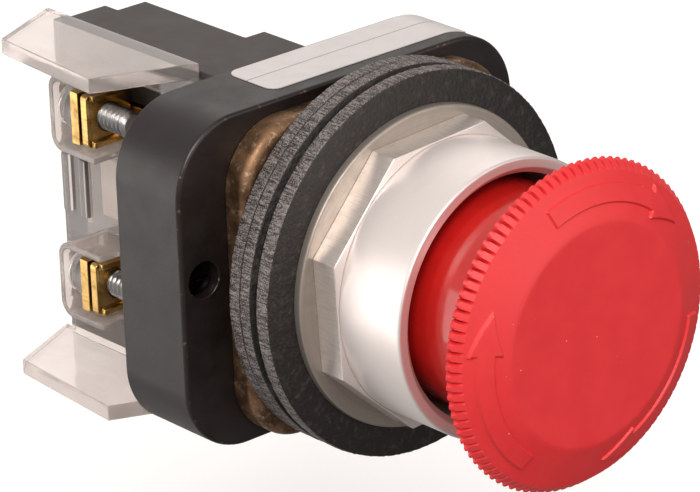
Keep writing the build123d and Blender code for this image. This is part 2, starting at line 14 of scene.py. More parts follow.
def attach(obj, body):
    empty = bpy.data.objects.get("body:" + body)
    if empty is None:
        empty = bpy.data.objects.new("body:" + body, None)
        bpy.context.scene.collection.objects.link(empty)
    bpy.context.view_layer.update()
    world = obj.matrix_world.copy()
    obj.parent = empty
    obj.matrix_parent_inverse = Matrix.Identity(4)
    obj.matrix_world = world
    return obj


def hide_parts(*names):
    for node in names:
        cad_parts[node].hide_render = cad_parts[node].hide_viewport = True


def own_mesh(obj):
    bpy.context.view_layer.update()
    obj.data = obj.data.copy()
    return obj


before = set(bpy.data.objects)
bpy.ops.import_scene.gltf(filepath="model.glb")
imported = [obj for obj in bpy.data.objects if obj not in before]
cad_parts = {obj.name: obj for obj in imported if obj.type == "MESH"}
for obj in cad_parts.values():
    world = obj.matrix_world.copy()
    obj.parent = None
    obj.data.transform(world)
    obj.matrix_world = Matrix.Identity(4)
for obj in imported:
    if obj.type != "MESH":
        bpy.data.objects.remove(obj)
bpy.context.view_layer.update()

MM = 0.001
CRISP_ANGLE = 32.0  # degrees; a sharper edge is not shaded smooth
EASE_ANGLE = 35.0  # degrees; a sharper edge of a frame node is eased
EASE_SPANS = 2
FLAT_ANGLE = 0.5  # degrees; faces closer than this become one
EDGE_SHARE = 0.49  # most of an edge that one rounded corner takes
WELD = 1e-6  # metres; closer corners become one
NODE_WELD = 2e-6  # the same, for a frame node's loose triangles
SPECK = 1e-7  # metres; shorter edges are dissolved
NEVER_ZERO = 1e-6
log = logging.getLogger("stop_button")

Piece = bpy.types.Object
Socket = bpy.types.NodeSocket
Pair = tuple[float, float]
Point = Pair
Triple = tuple[float, float, float]
Colour = Triple
Term = Union[Socket, float, tuple[float, ...]]
Grids = tuple[np.ndarray, np.ndarray]
Rule = Callable[[np.ndarray, np.ndarray, np.ndarray], Grids]


class Body(Enum):
    """The bodies that move on their own."""

    OPERATOR = "operator"
    ACTUATOR = "actuator"
    HEAD = "head"
    PLUNGER = "plunger"
    UPPER_SCREW = "upper_screw"
    UPPER_CLAMP = "upper_clamp"
    LOWER_SCREW = "lower_screw"
    LOWER_CLAMP = "lower_clamp"


class Lay(Enum):
    """Direction of the tool marks on a metal surface."""

    AROUND = "turned about the axis"
    ALONG = "milled along the axis"
    NONE = "blasted or cast"


# ---------------------------------------------------------------- mesh tools
def rounded(points: Sequence[Point], radii: Sequence[float], steps: int = 4) -> list[Point]:
    """Rounds the corners of an open or closed outline.

    Args:
        points: corners in order, millimetres.
        radii: how far each corner is cut back along its edges; 0 keeps it sharp.
        steps: spans in each rounded corner.

    Returns:
        The outline with every rounded corner replaced by a short curve.
    """
    out: list[Point] = []
    count = len(points)
    for i, (corner, radius) in enumerate(zip(points, radii)):
        if radius <= 0:
            out.append(corner)
            continue
        here = np.array(corner)
        before = np.array(points[i - 1]) - here
        after = np.array(points[(i + 1) % count]) - here
        reach = min(radius, EDGE_SHARE * np.linalg.norm(before), EDGE_SHARE * np.linalg.norm(after))
        start = here + before / np.linalg.norm(before) * reach
        end = here + after / np.linalg.norm(after) * reach
        for k in range(steps + 1):
            t = k / steps
            out.append(tuple((1 - t) ** 2 * start + 2 * t * (1 - t) * here + t**2 * end))
    return out


def smooth_edges(mesh: bpy.types.Mesh, angle: float = CRISP_ANGLE) -> None:
    """Shades a mesh smooth, with edges sharper than angle degrees kept crisp.

    Args:
        mesh: the mesh.
        angle: limit of a smooth edge, degrees.
    """
    mesh.polygons.foreach_set("use_smooth", [True] * len(mesh.polygons))
    mesh.set_sharp_from_angle(angle=math.radians(angle))
    mesh.update()


def add_piece(name: str, mesh: bpy.types.Mesh) -> Piece:
    """Puts a mesh into the scene as an object at the origin.

    Args:
        name: name of the object.
        mesh: its mesh.

    Returns:
        The new object.
    """
    piece = bpy.data.objects.new(name, mesh)
    bpy.context.scene.collection.objects.link(piece)
    return piece


def piece_from(name: str, corners: np.ndarray, faces: list, angle: float = CRISP_ANGLE) -> Piece:
    """Makes a closed piece from corner points in millimetres.

    Args:
        name: name of the piece.
        corners: an array of points, one row each.
        faces: corner numbers of each face.
        angle: edges sharper than this many degrees stay crisp.

    Returns:
        The new object, with its normals outward.
    """
    mesh = bpy.data.meshes.new(name)
    mesh.from_pydata((corners * MM).tolist(), [], faces)
    work = bmesh.new()
    work.from_mesh(mesh)
    bmesh.ops.remove_doubles(work, verts=work.verts, dist=WELD)
    bmesh.ops.dissolve_degenerate(work, edges=work.edges, dist=SPECK)
    bmesh.ops.recalc_face_normals(work, faces=work.faces)
    work.to_mesh(mesh)
    work.free()
    smooth_edges(mesh, angle)
    return add_piece(name, mesh)


def turned(
    name: str,
    outline: Sequence[Point],
    spokes: np.ndarray,
    rule: Optional[Rule] = None,
    centre: Point = (0.0, 0.0),
    angle: float = CRISP_ANGLE,
) -> Piece:
    """Turns an outline about an axis along Y.

    Args:
        name: name of the piece.
        outline: (radius, y) points in order; a closed loop unless it starts and ends on the axis.
        spokes: angles of the sections, radians from +X towards +Z.
        rule: changes radius and y of every point, given (radius, y, angle) grids.
        centre: X and Z of the axis.
        angle: edges sharper than this many degrees stay crisp.

    Returns:
        The new object.
    """
    profile = np.array(outline, float)
    radius = np.repeat(profile[:, :1], len(spokes), axis=1)
    along = np.repeat(profile[:, 1:], len(spokes), axis=1)
    turn = np.repeat(spokes[None, :], len(profile), axis=0)
    if rule is not None:
        radius, along = rule(radius, along, turn)
    corners = np.stack(
        [centre[0] + radius * np.cos(turn), along, centre[1] + radius * np.sin(turn)], axis=-1
    ).reshape(-1, 3)
    rows, columns = len(profile), len(spokes)
    capped = profile[0, 0] == 0 and profile[-1, 0] == 0
    faces = []
    for row in range(rows - 1 if capped else rows):
        lower, upper = row * columns, (row + 1) % rows * columns
        for column in range(columns):
            following = (column + 1) % columns
            faces.append((lower + column, lower + following, upper + following, upper + column))
    return piece_from(name, corners, faces, angle)


def even_spokes(count: int, start: float = 0.0) -> np.ndarray:
    """Evenly spaced section angles, radians."""
    return start + np.arange(count) * (2 * math.pi / count)


def settle(piece: Piece) -> Piece:
    """Turns an object's modifiers into a plain mesh.

    Args:
        piece: the object.

    Returns:
        The same object.
    """
    bpy.context.view_layer.update()
    graph = bpy.context.evaluated_depsgraph_get()
    mesh = bpy.data.meshes.new_from_object(piece.evaluated_get(graph), depsgraph=graph)
    piece.modifiers.clear()
    piece.data = mesh
    return piece


def keep_flat(piece: Piece) -> Piece:
    """Shades large faces flat, so that only the small ones beside them look rounded.

    Args:
        piece: the object.

    Returns:
        The same object.
    """
    weighted = piece.modifiers.new("flat faces stay flat", "WEIGHTED_NORMAL")
    weighted.keep_sharp = True
    return settle(piece)


def eased_copy(node: str, edge: float) -> Piece:
    """Copies a frame node as one merged mesh with its sharp edges eased.

    Args:
        node: name of the node to copy.
        edge: width of the eased edge, millimetres.

    Returns:
        The new object, standing for the node.
    """
    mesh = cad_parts[node].data.copy()
    mesh.materials.clear()
    work = bmesh.new()
    work.from_mesh(mesh)
    bmesh.ops.remove_doubles(work, verts=work.verts, dist=NODE_WELD)
    bmesh.ops.dissolve_limit(
        work,
        angle_limit=math.radians(FLAT_ANGLE),
        verts=work.verts,
        edges=work.edges,
        use_dissolve_boundaries=False,
    )
    work.to_mesh(mesh)
    work.free()
    piece = add_piece(f"{node}_shaped", mesh)
    bevel = piece.modifiers.new("eased edges", "BEVEL")
    bevel.width = edge * MM
    bevel.segments = EASE_SPANS
    bevel.limit_method = "ANGLE"
    bevel.angle_limit = math.radians(EASE_ANGLE)
    bevel.use_clamp_overlap = False
    bevel.miter_outer = "MITER_ARC"
    settle(piece)
    smooth_edges(piece.data, EASE_ANGLE)
    return keep_flat(piece)


# ---------------------------------------------------------------- node trees
class Graph:
    """One material's node tree, built up from small expressions."""

    def __init__(self, name: str) -> None:
        """Starts an empty tree with a surface shader and an output.

        Args:
            name: name of the material.
        """
        self.material = bpy.data.materials.new(name)
        self.material.use_nodes = True
        self.tree = self.material.node_tree
        self.tree.nodes.clear()
        self.surface = self.tree.nodes.new("ShaderNodeBsdfPrincipled")
        output = self.tree.nodes.new("ShaderNodeOutputMaterial")
        self.tree.links.new(self.surface.outputs[0], output.inputs["Surface"])
        coordinates = self.tree.nodes.new("ShaderNodeTexCoord")
        self.place = self.vector("SCALE", coordinates.outputs["Object"], scale=1 / MM)

    def wire(self, socket: Socket, value: Term) -> None:
        """Links a socket if the value is another node's output, else sets it."""
        if isinstance(value, Socket):
            self.tree.links.new(value, socket)
        else:
            socket.default_value = value

    def vector(self, operation: str, a: Term, b: Optional[Term] = None, scale: float = 1.0) -> Socket:
        """One step of vector arithmetic; scale is read by SCALE alone.

        Args:
            operation: name of the operation.
            a: first vector.
            b: second vector, if it takes one.
            scale: factor of SCALE.

        Returns:
            The result.
        """
        node = self.tree.nodes.new("ShaderNodeVectorMath")
        node.operation = operation
        self.wire(node.inputs[0], a)
        if b is not None:
            self.wire(node.inputs[1], b)
        if operation == "SCALE":
            node.inputs["Scale"].default_value = scale
        return node.outputs["Value" if operation == "LENGTH" else "Vector"]

    def maths(self, operation: str, a: Term, b: Term = 0.0) -> Socket:
        """One step of arithmetic.

        Args:
            operation: name of the operation.
            a: first number.
            b: second number.

        Returns:
            The result.
        """
        node = self.tree.nodes.new("ShaderNodeMath")
        node.operation = operation
        self.wire(node.inputs[0], a)
        self.wire(node.inputs[1], b)
        return node.outputs[0]

    def noise(
        self, grain: float, detail: float = 3.0, rough: float = 0.55, stretch: Triple = (1.0, 1.0, 1.0)
    ) -> Socket:
        """Even noise.

        Args:
            grain: size of its grain, millimetres.
            detail: octaves.
            rough: strength of the finer octaves.
            stretch: how fast it changes along X, Y and Z.

        Returns:
            Its value, about 0.5 on average.
        """
        node = self.tree.nodes.new("ShaderNodeTexNoise")
        self.wire(node.inputs["Vector"], self.vector("MULTIPLY", self.place, stretch))
        node.inputs["Scale"].default_value = 1 / grain
        node.inputs["Detail"].default_value = detail
        node.inputs["Roughness"].default_value = rough
        return node.outputs[0]

    def step(
        self, value: Term, low: float, high: float, to_low: float = 0.0, to_high: float = 1.0
    ) -> Socket:
        """A smooth, clamped change from one level to another.

        Args:
            value: the value that is read.
            low: where the change starts.
            high: where it ends.
            to_low: result below the start.
            to_high: result past the end.

        Returns:
            The result.
        """
        node = self.tree.nodes.new("ShaderNodeMapRange")
        node.interpolation_type = "SMOOTHSTEP"
        labels = ("Value", "From Min", "From Max", "To Min", "To Max")
        for label, number in zip(labels, (value, low, high, to_low, to_high)):
            self.wire(node.inputs[label], number)
        return node.outputs[0]

    def blend(self, share: Term, first: Term, second: Term) -> Socket:
        """Mixes two colours by a share of the second.

        Args:
            share: share of the second, 0 to 1.
            first: colour at 0.
            second: colour at 1.

        Returns:
            The mixed colour.
        """
        node = self.tree.nodes.new("ShaderNodeMix")
        node.data_type = "RGBA"
        for socket, value in zip((node.inputs[0], node.inputs[6], node.inputs[7]), (share, first, second)):
            self.wire(socket, (*value, 1.0) if isinstance(value, tuple) else value)
        return node.outputs[2]

    def axis_distance(self, centre: Point = (0.0, 0.0)) -> Socket:
        """Distance from a line along Y, millimetres."""
        shifted = self.vector("SUBTRACT", self.place, (centre[0], 0.0, centre[1]))
        return self.vector("LENGTH", self.vector("MULTIPLY", shifted, (1.0, 0.0, 1.0)))

    def split(self) -> list[Socket]:
        """X, Y and Z of the place, millimetres."""
        node = self.tree.nodes.new("ShaderNodeSeparateXYZ")
        self.wire(node.inputs[0], self.place)
        return list(node.outputs)

    def relief(self, height: Term, depth: float, strength: float = 1.0) -> None:
        """Gives the surface fine relief of the stated depth, millimetres.

        Args:
            height: height as a share of the depth.
            depth: depth, millimetres.
            strength: share of the effect.
        """
        node = self.tree.nodes.new("ShaderNodeBump")
        node.inputs["Strength"].default_value = strength
        node.inputs["Distance"].default_value = depth * MM
        self.wire(node.inputs["Height"], height)
        self.tree.links.new(node.outputs[0], self.surface.inputs["Normal"])

    def finish(self, colour: Term, roughness: Term, **fixed: Term) -> bpy.types.Material:
        """Sets the shader.

        Args:
            colour: base colour.
            roughness: roughness.
            fixed: other sockets of the shader by name, with _ for a space.

        Returns:
            The finished material.
        """
        base = (*colour, 1.0) if isinstance(colour, tuple) else colour
        self.wire(self.surface.inputs["Base Color"], base)
        self.wire(self.surface.inputs["Roughness"], roughness)
        for name, value in fixed.items():
            self.surface.inputs[name.replace("_", " ")].default_value = value
        return self.material


# ---------------------------------------------------------------- finishes
class Finish(Protocol):
    """A look that builds its own material."""

    name: str

    def material(self) -> bpy.types.Material:
        """Builds the material."""


@dataclass(frozen=True)
class MouldedPlastic:
    """Opaque moulded plastic with a fine spark-eroded grain."""

    name: str
    colour: Colour
    deep: Colour
    roughness: float = 0.5
    grain: float = 0.22
    relief: float = 0.02
    specks: Optional[Colour] = None
    wear_and_highlight: Optional[Colour] = None
    specular: float = 0.5

    def material(self) -> bpy.types.Material:
        """Builds the material."""
        graph = Graph(self.name)
        fine = graph.noise(self.grain, 3.0, 0.6)
        broad = graph.noise(4.0, 4.0, 0.6)
        colour = graph.blend(graph.step(broad, 0.35, 0.65), self.deep, self.colour)
        colour = graph.blend(graph.step(fine, 0.35, 0.75, 0.0, 0.25), colour, self.deep)
        # lighter reddish-brown patches: partly real wear chips, partly a painted edge highlight
        if self.wear_and_highlight is not None:
            colour = graph.blend(graph.step(graph.noise(0.9, 4.0, 0.7), 0.60, 0.68), colour, self.wear_and_highlight)
        if self.specks is not None:
            colour = graph.blend(graph.step(graph.noise(0.34, 0.0), 0.875, 0.89), colour, self.specks)
        roughness = graph.step(broad, 0.3, 0.7, self.roughness - 0.05, self.roughness + 0.05)
        graph.relief(fine, self.relief)
        return graph.finish(colour, roughness, Specular_IOR_Level=self.specular)


@dataclass(frozen=True)
class PolishedPlastic:
    """Glossy moulded plastic."""

    name: str
    colour: Colour
    deep: Colour
    roughness: float = 0.12

    def material(self) -> bpy.types.Material:
        """Builds the material."""
        graph = Graph(self.name)
        broad = graph.noise(5.0, 2.0)
        smears = graph.noise(1.6, 4.0, 0.65, (1.0, 0.25, 1.0))
        colour = graph.blend(graph.step(broad, 0.3, 0.7), self.deep, self.colour)
        roughness = graph.step(smears, 0.35, 0.75, self.roughness, self.roughness + 0.12)
        graph.relief(graph.noise(2.5, 2.0), 0.01)
        return graph.finish(colour, roughness, Coat_Weight=0.3, Coat_Roughness=0.08)


@dataclass(frozen=True)
class Metal:
    """A bare or plated metal with its tool marks."""

    name: str
    colour: Colour
    stain: Colour
    roughness: float
    lay: Lay = Lay.NONE
    mark: float = 0.08
    relief: float = 0.004
    stained: float = 0.5
    metallic: float = 1.0
    patchy: float = 0.05
    centre: Point = (0.0, 0.0)

    def marks(self, graph: Graph) -> Socket:
        """Height of the tool marks.

        Args:
            graph: the tree they are added to.

        Returns:
            The height, about 0.5 on average.
        """
        if self.lay is Lay.ALONG:
            return graph.noise(self.mark, 4.0, 0.75, (1.0, 0.05, 1.0))
        if self.lay is Lay.NONE:
            return graph.noise(self.mark, 3.0, 0.6)
        node = graph.tree.nodes.new("ShaderNodeTexNoise")
        node.noise_dimensions = "2D"
        pair = graph.tree.nodes.new("ShaderNodeCombineXYZ")
        graph.wire(pair.inputs[0], graph.axis_distance(self.centre))
        graph.wire(pair.inputs[1], graph.split()[1])
        graph.wire(node.inputs["Vector"], pair.outputs[0])
        node.inputs["Scale"].default_value = 1 / self.mark
        node.inputs["Detail"].default_value = 3.0
        return node.outputs[0]

    def material(self) -> bpy.types.Material:
        """Builds the material."""
        graph = Graph(self.name)
        marks = self.marks(graph)
        cloud = graph.noise(3.0, 4.0, 0.6)
        colour = graph.blend(graph.step(cloud, 0.45, 0.75, 0.0, self.stained), self.colour, self.stain)
        colour = graph.blend(graph.step(marks, 0.45, 0.75, 0.0, 0.5), colour, self.stain)
        roughness = graph.step(cloud, 0.3, 0.7, self.roughness - self.patchy, self.roughness + self.patchy)
        graph.relief(marks, self.relief)
        return graph.finish(colour, roughness, Metallic=self.metallic)


@dataclass(frozen=True)
class CastChromate:
    """Die casting under a yellow-brown chromate, with lighter patches all over it."""

    name: str
    colour: Colour
    deep: Colour
    bare_and_highlight: Colour
    roughness: float = 0.38

    def material(self) -> bpy.types.Material:
        """Builds the material."""
        graph = Graph(self.name)
        cloud = graph.noise(2.6, 3.0, 0.5)
        sand = graph.noise(0.35, 3.0, 0.6)
        colour = graph.blend(graph.step(cloud, 0.3, 0.7), self.deep, self.colour)
        # lighter patches all over: partly chromate thinned by wear, partly painted highlight
        thinned_and_highlight = graph.step(graph.noise(0.7, 4.0, 0.7), 0.52, 0.72, 0.0, 0.6)
        colour = graph.blend(thinned_and_highlight, colour, self.bare_and_highlight)
        roughness = graph.step(cloud, 0.3, 0.7, self.roughness, self.roughness + 0.15)
        graph.relief(graph.maths("ADD", cloud, graph.maths("MULTIPLY", sand, 0.35)), 0.05)
        return graph.finish(colour, roughness, Metallic=0.85)


@dataclass(frozen=True)
class CutRubber:
    """Rubber sheet with a smooth face and a pale, grainy cut edge."""

    name: str
    face: Colour
    scuff: Colour
    cut: Colour
    cut_radius: float

    def material(self) -> bpy.types.Material:
        """Builds the material."""
        graph = Graph(self.name)
        grain = graph.noise(0.16, 2.0, 0.7)
        scuffs = graph.noise(1.4, 6.0, 0.72)
        streaks = graph.noise(0.22, 3.0, 0.7, (1.0, 0.12, 1.0))
        face = graph.blend(graph.step(scuffs, 0.5, 0.72, 0.0, 0.8), self.face, self.scuff)
        mottle = graph.maths("MULTIPLY", graph.maths("ADD", grain, streaks), 0.5)
        edge = graph.blend(graph.step(mottle, 0.42, 0.62), self.face, self.cut)
        rim = graph.step(graph.axis_distance(), self.cut_radius - 0.2, self.cut_radius - 0.1)
        graph.relief(graph.blend(rim, graph.noise(0.5, 4.0), mottle), 0.16)
        roughness = graph.step(scuffs, 0.4, 0.7, 0.5, 0.68)
        return graph.finish(graph.blend(rim, face, edge), roughness, Specular_IOR_Level=0.5)


@dataclass(frozen=True)
class ClearPlastic:
    """Clear moulded plastic."""

    name: str
    tint: Colour
    thick: Colour
    roughness: float = 0.06

    def material(self) -> bpy.types.Material:
        """Builds the material."""
        graph = Graph(self.name)
        flow = graph.noise(4.0, 3.0, 0.55, (1.0, 0.4, 1.0))
        graph.relief(flow, 0.12, 0.6)
        colour = graph.blend(graph.step(flow, 0.3, 0.7), self.tint, self.thick)
        roughness = graph.step(flow, 0.35, 0.7, self.roughness, self.roughness + 0.06)
        return graph.finish(colour, roughness, Transmission_Weight=0.80, IOR=1.42)


@dataclass(frozen=True)
class PrintedFilm:
    """White label film with one thin rule along it."""

    name: str
    colour: Colour
    ink: Colour
    rule_y: float
    rule_width: float
    rule_fade: float = 0.06
    shade: float = 0.94

    def material(self) -> bpy.types.Material:
        """Builds the material."""
        graph = Graph(self.name)
        away = graph.maths("ABSOLUTE", graph.maths("SUBTRACT", graph.split()[1], self.rule_y))
        rule = graph.step(away, self.rule_width / 2, self.rule_width / 2 + self.rule_fade, 0.7, 0.0)
        shaded = tuple(self.shade * c for c in self.colour)
        paper = graph.blend(graph.step(graph.noise(3.0), 0.3, 0.7), self.colour, shaded)
        graph.relief(graph.noise(0.4, 2.0), 0.006)
        return graph.finish(graph.blend(rule, paper, self.ink), 0.42)


HEAD_RED = MouldedPlastic(
    "head_red_plastic", (0.71, 0.030, 0.034), (0.68, 0.027, 0.031),
    roughness=0.46, grain=0.16, relief=0.018, specks=(0.9, 0.45, 0.35),
)
NECK_RED = PolishedPlastic("neck_red_plastic", (0.50, 0.012, 0.010), (0.44, 0.010, 0.008))
SATIN_ALUMINIUM = Metal(
    "satin_aluminium", (0.86, 0.80, 0.77), (0.78, 0.72, 0.69),
    roughness=0.40, mark=0.10, relief=0.003, stained=0.25, metallic=0.7, patchy=0.01,
)
MILLED_ALUMINIUM = Metal(
    "milled_aluminium", (0.88, 0.81, 0.76), (0.50, 0.45, 0.41),
    roughness=0.33, lay=Lay.ALONG, mark=0.16, relief=0.03, stained=0.3, metallic=0.8, patchy=0.03,
)
DULL_ZINC = Metal(
    "dull_zinc", (0.42, 0.375, 0.33), (0.32, 0.285, 0.25),
    roughness=0.42, lay=Lay.AROUND, mark=0.12, metallic=0.75,
)
CUT_RUBBER = CutRubber(
    "cut_rubber", (0.011, 0.009, 0.008), (0.06, 0.05, 0.045), (0.27, 0.24, 0.23), cut_radius=23.85
)
DARK_RUBBER = CutRubber(
    "dark_rubber", (0.008, 0.008, 0.008), (0.03, 0.03, 0.03), (0.04, 0.04, 0.04), cut_radius=21.7
)
# its third colour lays lighter patches: partly thinned chromate, partly painted highlight
BRONZE_CASTING = CastChromate(
    "bronze_casting", (0.27, 0.155, 0.085), (0.12, 0.065, 0.035), (0.62, 0.47, 0.33)
)
HOUSING_BLACK = MouldedPlastic(
    "housing_black", (0.011, 0.0075, 0.007), (0.008, 0.0055, 0.005),
    roughness=0.40, grain=0.25, relief=0.015, specular=0.46,
)
# rounded front edge of the housing: its lighter reddish patches are partly real wear chips and partly a
# painted edge highlight
HOUSING_EDGE = MouldedPlastic(
    "housing_edge", (0.012, 0.008, 0.007), (0.009, 0.006, 0.005),
    roughness=0.34, grain=0.25, relief=0.01, wear_and_highlight=(0.16, 0.075, 0.055),
)
BLOCK_BLACK = MouldedPlastic(
    "block_black", (0.034, 0.025, 0.023), (0.022, 0.016, 0.014), grain=0.35
)
BLACKENED_STEEL = Metal(
    "blackened_steel", (0.06, 0.055, 0.05), (0.02, 0.02, 0.02),
    roughness=0.18, mark=0.2, relief=0.006, stained=0.4,
)
LABEL_WHITE = PrintedFilm(
    "label_white", (0.60, 0.57, 0.56), (0.12, 0.11, 0.11), rule_y=10.4, rule_width=0.14
)
CLEAR_COVER = ClearPlastic("clear_cover", (0.80, 0.72, 0.68), (0.88, 0.82, 0.78))
WHITE_NYLON = MouldedPlastic(
    "white_nylon", (0.80, 0.75, 0.68), (0.70, 0.64, 0.56), roughness=0.45, grain=0.3, relief=0.015
)
# its near-black stain, laid over much of the brass, is partly real tarnish and partly a painted dark
# reflection
BRIGHT_BRASS = Metal(
    "bright_brass", (0.66, 0.43, 0.15), (0.16, 0.08, 0.02),
    roughness=0.22, lay=Lay.ALONG, mark=0.3, stained=0.75,
)
SCREW_STEEL = Metal(
    "screw_steel", (0.42, 0.42, 0.42), (0.22, 0.21, 0.20),
    roughness=0.34, mark=0.2, relief=0.001, stained=0.3,
)
SPRING_WIRE = Metal(
    "spring_wire", (0.66, 0.65, 0.64), (0.38, 0.36, 0.34), roughness=0.22, mark=0.15, stained=0.4
)
TURNED_STEEL = Metal(
    "turned_steel", (0.60, 0.59, 0.58), (0.40, 0.38, 0.36),
    roughness=0.25, lay=Lay.AROUND, mark=0.10, stained=0.3,
)
SINTERED_BRONZE = Metal(
    "sintered_bronze", (0.62, 0.42, 0.22), (0.36, 0.22, 0.10),
    roughness=0.45, mark=0.15, relief=0.02, stained=0.6,
)
DIE_CAST_ZINC = Metal(
    "die_cast_zinc", (0.52, 0.52, 0.50), (0.34, 0.34, 0.33), roughness=0.45, mark=0.35, relief=0.02
)

MATERIALS: dict[str, bpy.types.Material] = {}


def material_of(finish: Finish) -> bpy.types.Material:
    """The finish's material, built once."""
    if finish.name not in MATERIALS:
        MATERIALS[finish.name] = finish.material()
    return MATERIALS[finish.name]


def dress(piece: Piece, finish: Finish) -> None:
    """Gives a piece one finish all over."""
    piece.data.materials.clear()
    piece.data.materials.append(material_of(finish))


def place(piece: Piece, finish: Optional[Finish], body: Body, *nodes: str) -> None:
    """Finishes a piece and ties it to the frame.

    Args:
        piece: the piece.
        finish: its finish, or None if it is dressed already.
        body: the body it moves with.
        nodes: frame nodes it stands for.
    """
    if finish is not None:
        dress(piece, finish)
    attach(piece, body.value)
    if nodes:
        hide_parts(*nodes)
    log.info("%s: %d faces", piece.name, len(piece.data.polygons))


def keep_node(node: str, finish: Finish) -> None:
    """Dresses a frame node that is shown as it is."""
    dress(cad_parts[node], finish)
    log.info("%s: kept from the frame", node)


# ---------------------------------------------------------------- geometry node trees
class ShapeTree:
    """A geometry node tree with named inputs."""

    def __init__(self, name: str, inputs: dict[str, Union[int, float, Triple]]) -> None:
        """Starts the tree.

        Args:
            name: name of the tree.
            inputs: default value of each input by name.
        """
        kinds = {int: "NodeSocketInt", float: "NodeSocketFloat", tuple: "NodeSocketVector"}
        self.tree = bpy.data.node_groups.new(name, "GeometryNodeTree")
        self.sockets: dict[str, str] = {}
        self.socket("Geometry", "NodeSocketGeometry")
        for label, default in inputs.items():
            self.socket(label, kinds[type(default)]).default_value = default
        self.socket("Finish", "NodeSocketMaterial")
        self.tree.interface.new_socket("Geometry", in_out="OUTPUT", socket_type="NodeSocketGeometry")
        self.entry = self.tree.nodes.new("NodeGroupInput")

    def socket(self, label: str, kind: str) -> bpy.types.NodeTreeInterfaceSocket:
        """Adds a named input of the stated type.

        Args:
            label: name of the input.
            kind: its socket type.

        Returns:
            The new input.
        """
        socket = self.tree.interface.new_socket(label, in_out="INPUT", socket_type=kind)
        self.sockets[label] = socket.identifier
        return socket

    def given(self, label: str) -> Socket:
        """The output that carries a named input."""
        return self.entry.outputs[label]

    def add(self, kind: str, inputs: dict[Union[int, str], Term], **settings: str) -> Socket:
        """Adds a node.

        Args:
            kind: type of the node.
            inputs: value or output by input name or number.
            settings: other properties of the node.

        Returns:
            The node's first output.
        """
        node = self.tree.nodes.new(kind)
        for key, value in settings.items():
            setattr(node, key, value)
        for key, value in inputs.items():
            if isinstance(value, Socket):
                self.tree.links.new(value, node.inputs[key])
            else:
                node.inputs[key].default_value = value
        return node.outputs[0]

    def maths(self, operation: str, a: Term, b: Term = 0.0) -> Socket:
        """One step of arithmetic."""
        return self.add("ShaderNodeMath", {0: a, 1: b}, operation=operation)

    def point(self, x: Term, y: Term, z: Term) -> Socket:
        """A point from its X, Y and Z."""
        return self.add("ShaderNodeCombineXYZ", {0: x, 1: y, 2: z})

    def shrink(self, radius: Socket, limit: Socket) -> Socket:
        """The share of a radius that keeps it within a limit."""
        return self.maths(
            "DIVIDE", self.maths("MINIMUM", radius, limit), self.maths("MAXIMUM", radius, NEVER_ZERO)
        )

    def close_moved(self, x: Socket, y: Socket, z: Socket) -> None:
        """Ends the tree with every point at its new place."""
        moved = {"Geometry": self.given("Geometry"), "Position": self.point(x, y, z)}
        self.close(self.add("GeometryNodeSetPosition", moved))

    def close(self, geometry: Socket) -> None:
        """Ends the tree in real geometry with its finish.

        Args:
            geometry: the finished geometry.
        """
        real = self.add("GeometryNodeRealizeInstances", {0: geometry})
        dressed = self.add("GeometryNodeSetMaterial", {"Geometry": real, "Material": self.given("Finish")})
        output = self.tree.nodes.new("NodeGroupOutput")
        self.tree.links.new(dressed, output.inputs[0])

    def apply(
        self,
        piece: Piece,
        finish: Finish,
        values: dict[str, Union[int, float, Triple]],
        angle: float = CRISP_ANGLE,
    ) -> None:
        """Runs the tree on a piece and keeps the result as its mesh.

        Args:
            piece: the piece.
            finish: its finish.
            values: value of each named input.
            angle: edges sharper than this many degrees stay crisp.
        """
        modifier = piece.modifiers.new(self.tree.name, "NODES")
        modifier.node_group = self.tree
        for label, value in values.items():
            modifier[self.sockets[label]] = value
        modifier[self.sockets["Finish"]] = material_of(finish)
        settle(piece)
        smooth_edges(piece.data, angle)


def polar_nodes(shape: ShapeTree, x: Term = 0.0, z: Term = 0.0) -> tuple[Socket, ...]:
    """Reads a point's place about an axis along Y.

    Args:
        shape: the tree.
        x: X of the axis.
        z: Z of the axis.

    Returns:
        Offset along X, Y, offset along Z, radius, and turn as a share of a full one.
    """
    maths = shape.maths
    parts = shape.tree.nodes.new("ShaderNodeSeparateXYZ")
    shape.tree.links.new(shape.add("GeometryNodeInputPosition", {}), parts.inputs[0])
    across = maths("SUBTRACT", parts.outputs[0], x)
    up = maths("SUBTRACT", parts.outputs[2], z)
    radius = maths("SQRT", maths("ADD", maths("MULTIPLY", across, across), maths("MULTIPLY", up, up)))
    turn = maths("DIVIDE", maths("ARCTAN2", up, across), 2 * math.pi)
    return across, parts.outputs[1], up, radius, turn


def rim_tree() -> ShapeTree:
    """Cuts teeth into the rim of a turned piece."""
    shape = ShapeTree(
        "rim teeth", {"Teeth": 100.0, "Root Radius": 0.019, "Tip Radius": 0.0205, "Flat Share": 0.45}
    )
    maths, given = shape.maths, shape.given
    across, along, up, radius, turn = polar_nodes(shape)
    phase = maths("FRACT", maths("MULTIPLY", turn, given("Teeth")))
    # climb is 0 at the bottom of a notch, and 1 at its two edges and on the tooth between
    half = maths("DIVIDE", maths("SUBTRACT", 1.0, given("Flat Share")), 2.0)
    off_bottom = maths("ABSOLUTE", maths("SUBTRACT", phase, maths("SUBTRACT", 1.0, half)))
    climb = maths("MINIMUM", maths("DIVIDE", off_bottom, half), 1.0)
    depth = maths("SUBTRACT", given("Tip Radius"), given("Root Radius"))
    limit = maths("ADD", given("Root Radius"), maths("MULTIPLY", climb, depth))
    scale = shape.shrink(radius, limit)
    shape.close_moved(maths("MULTIPLY", across, scale), along, maths("MULTIPLY", up, scale))
    return shape


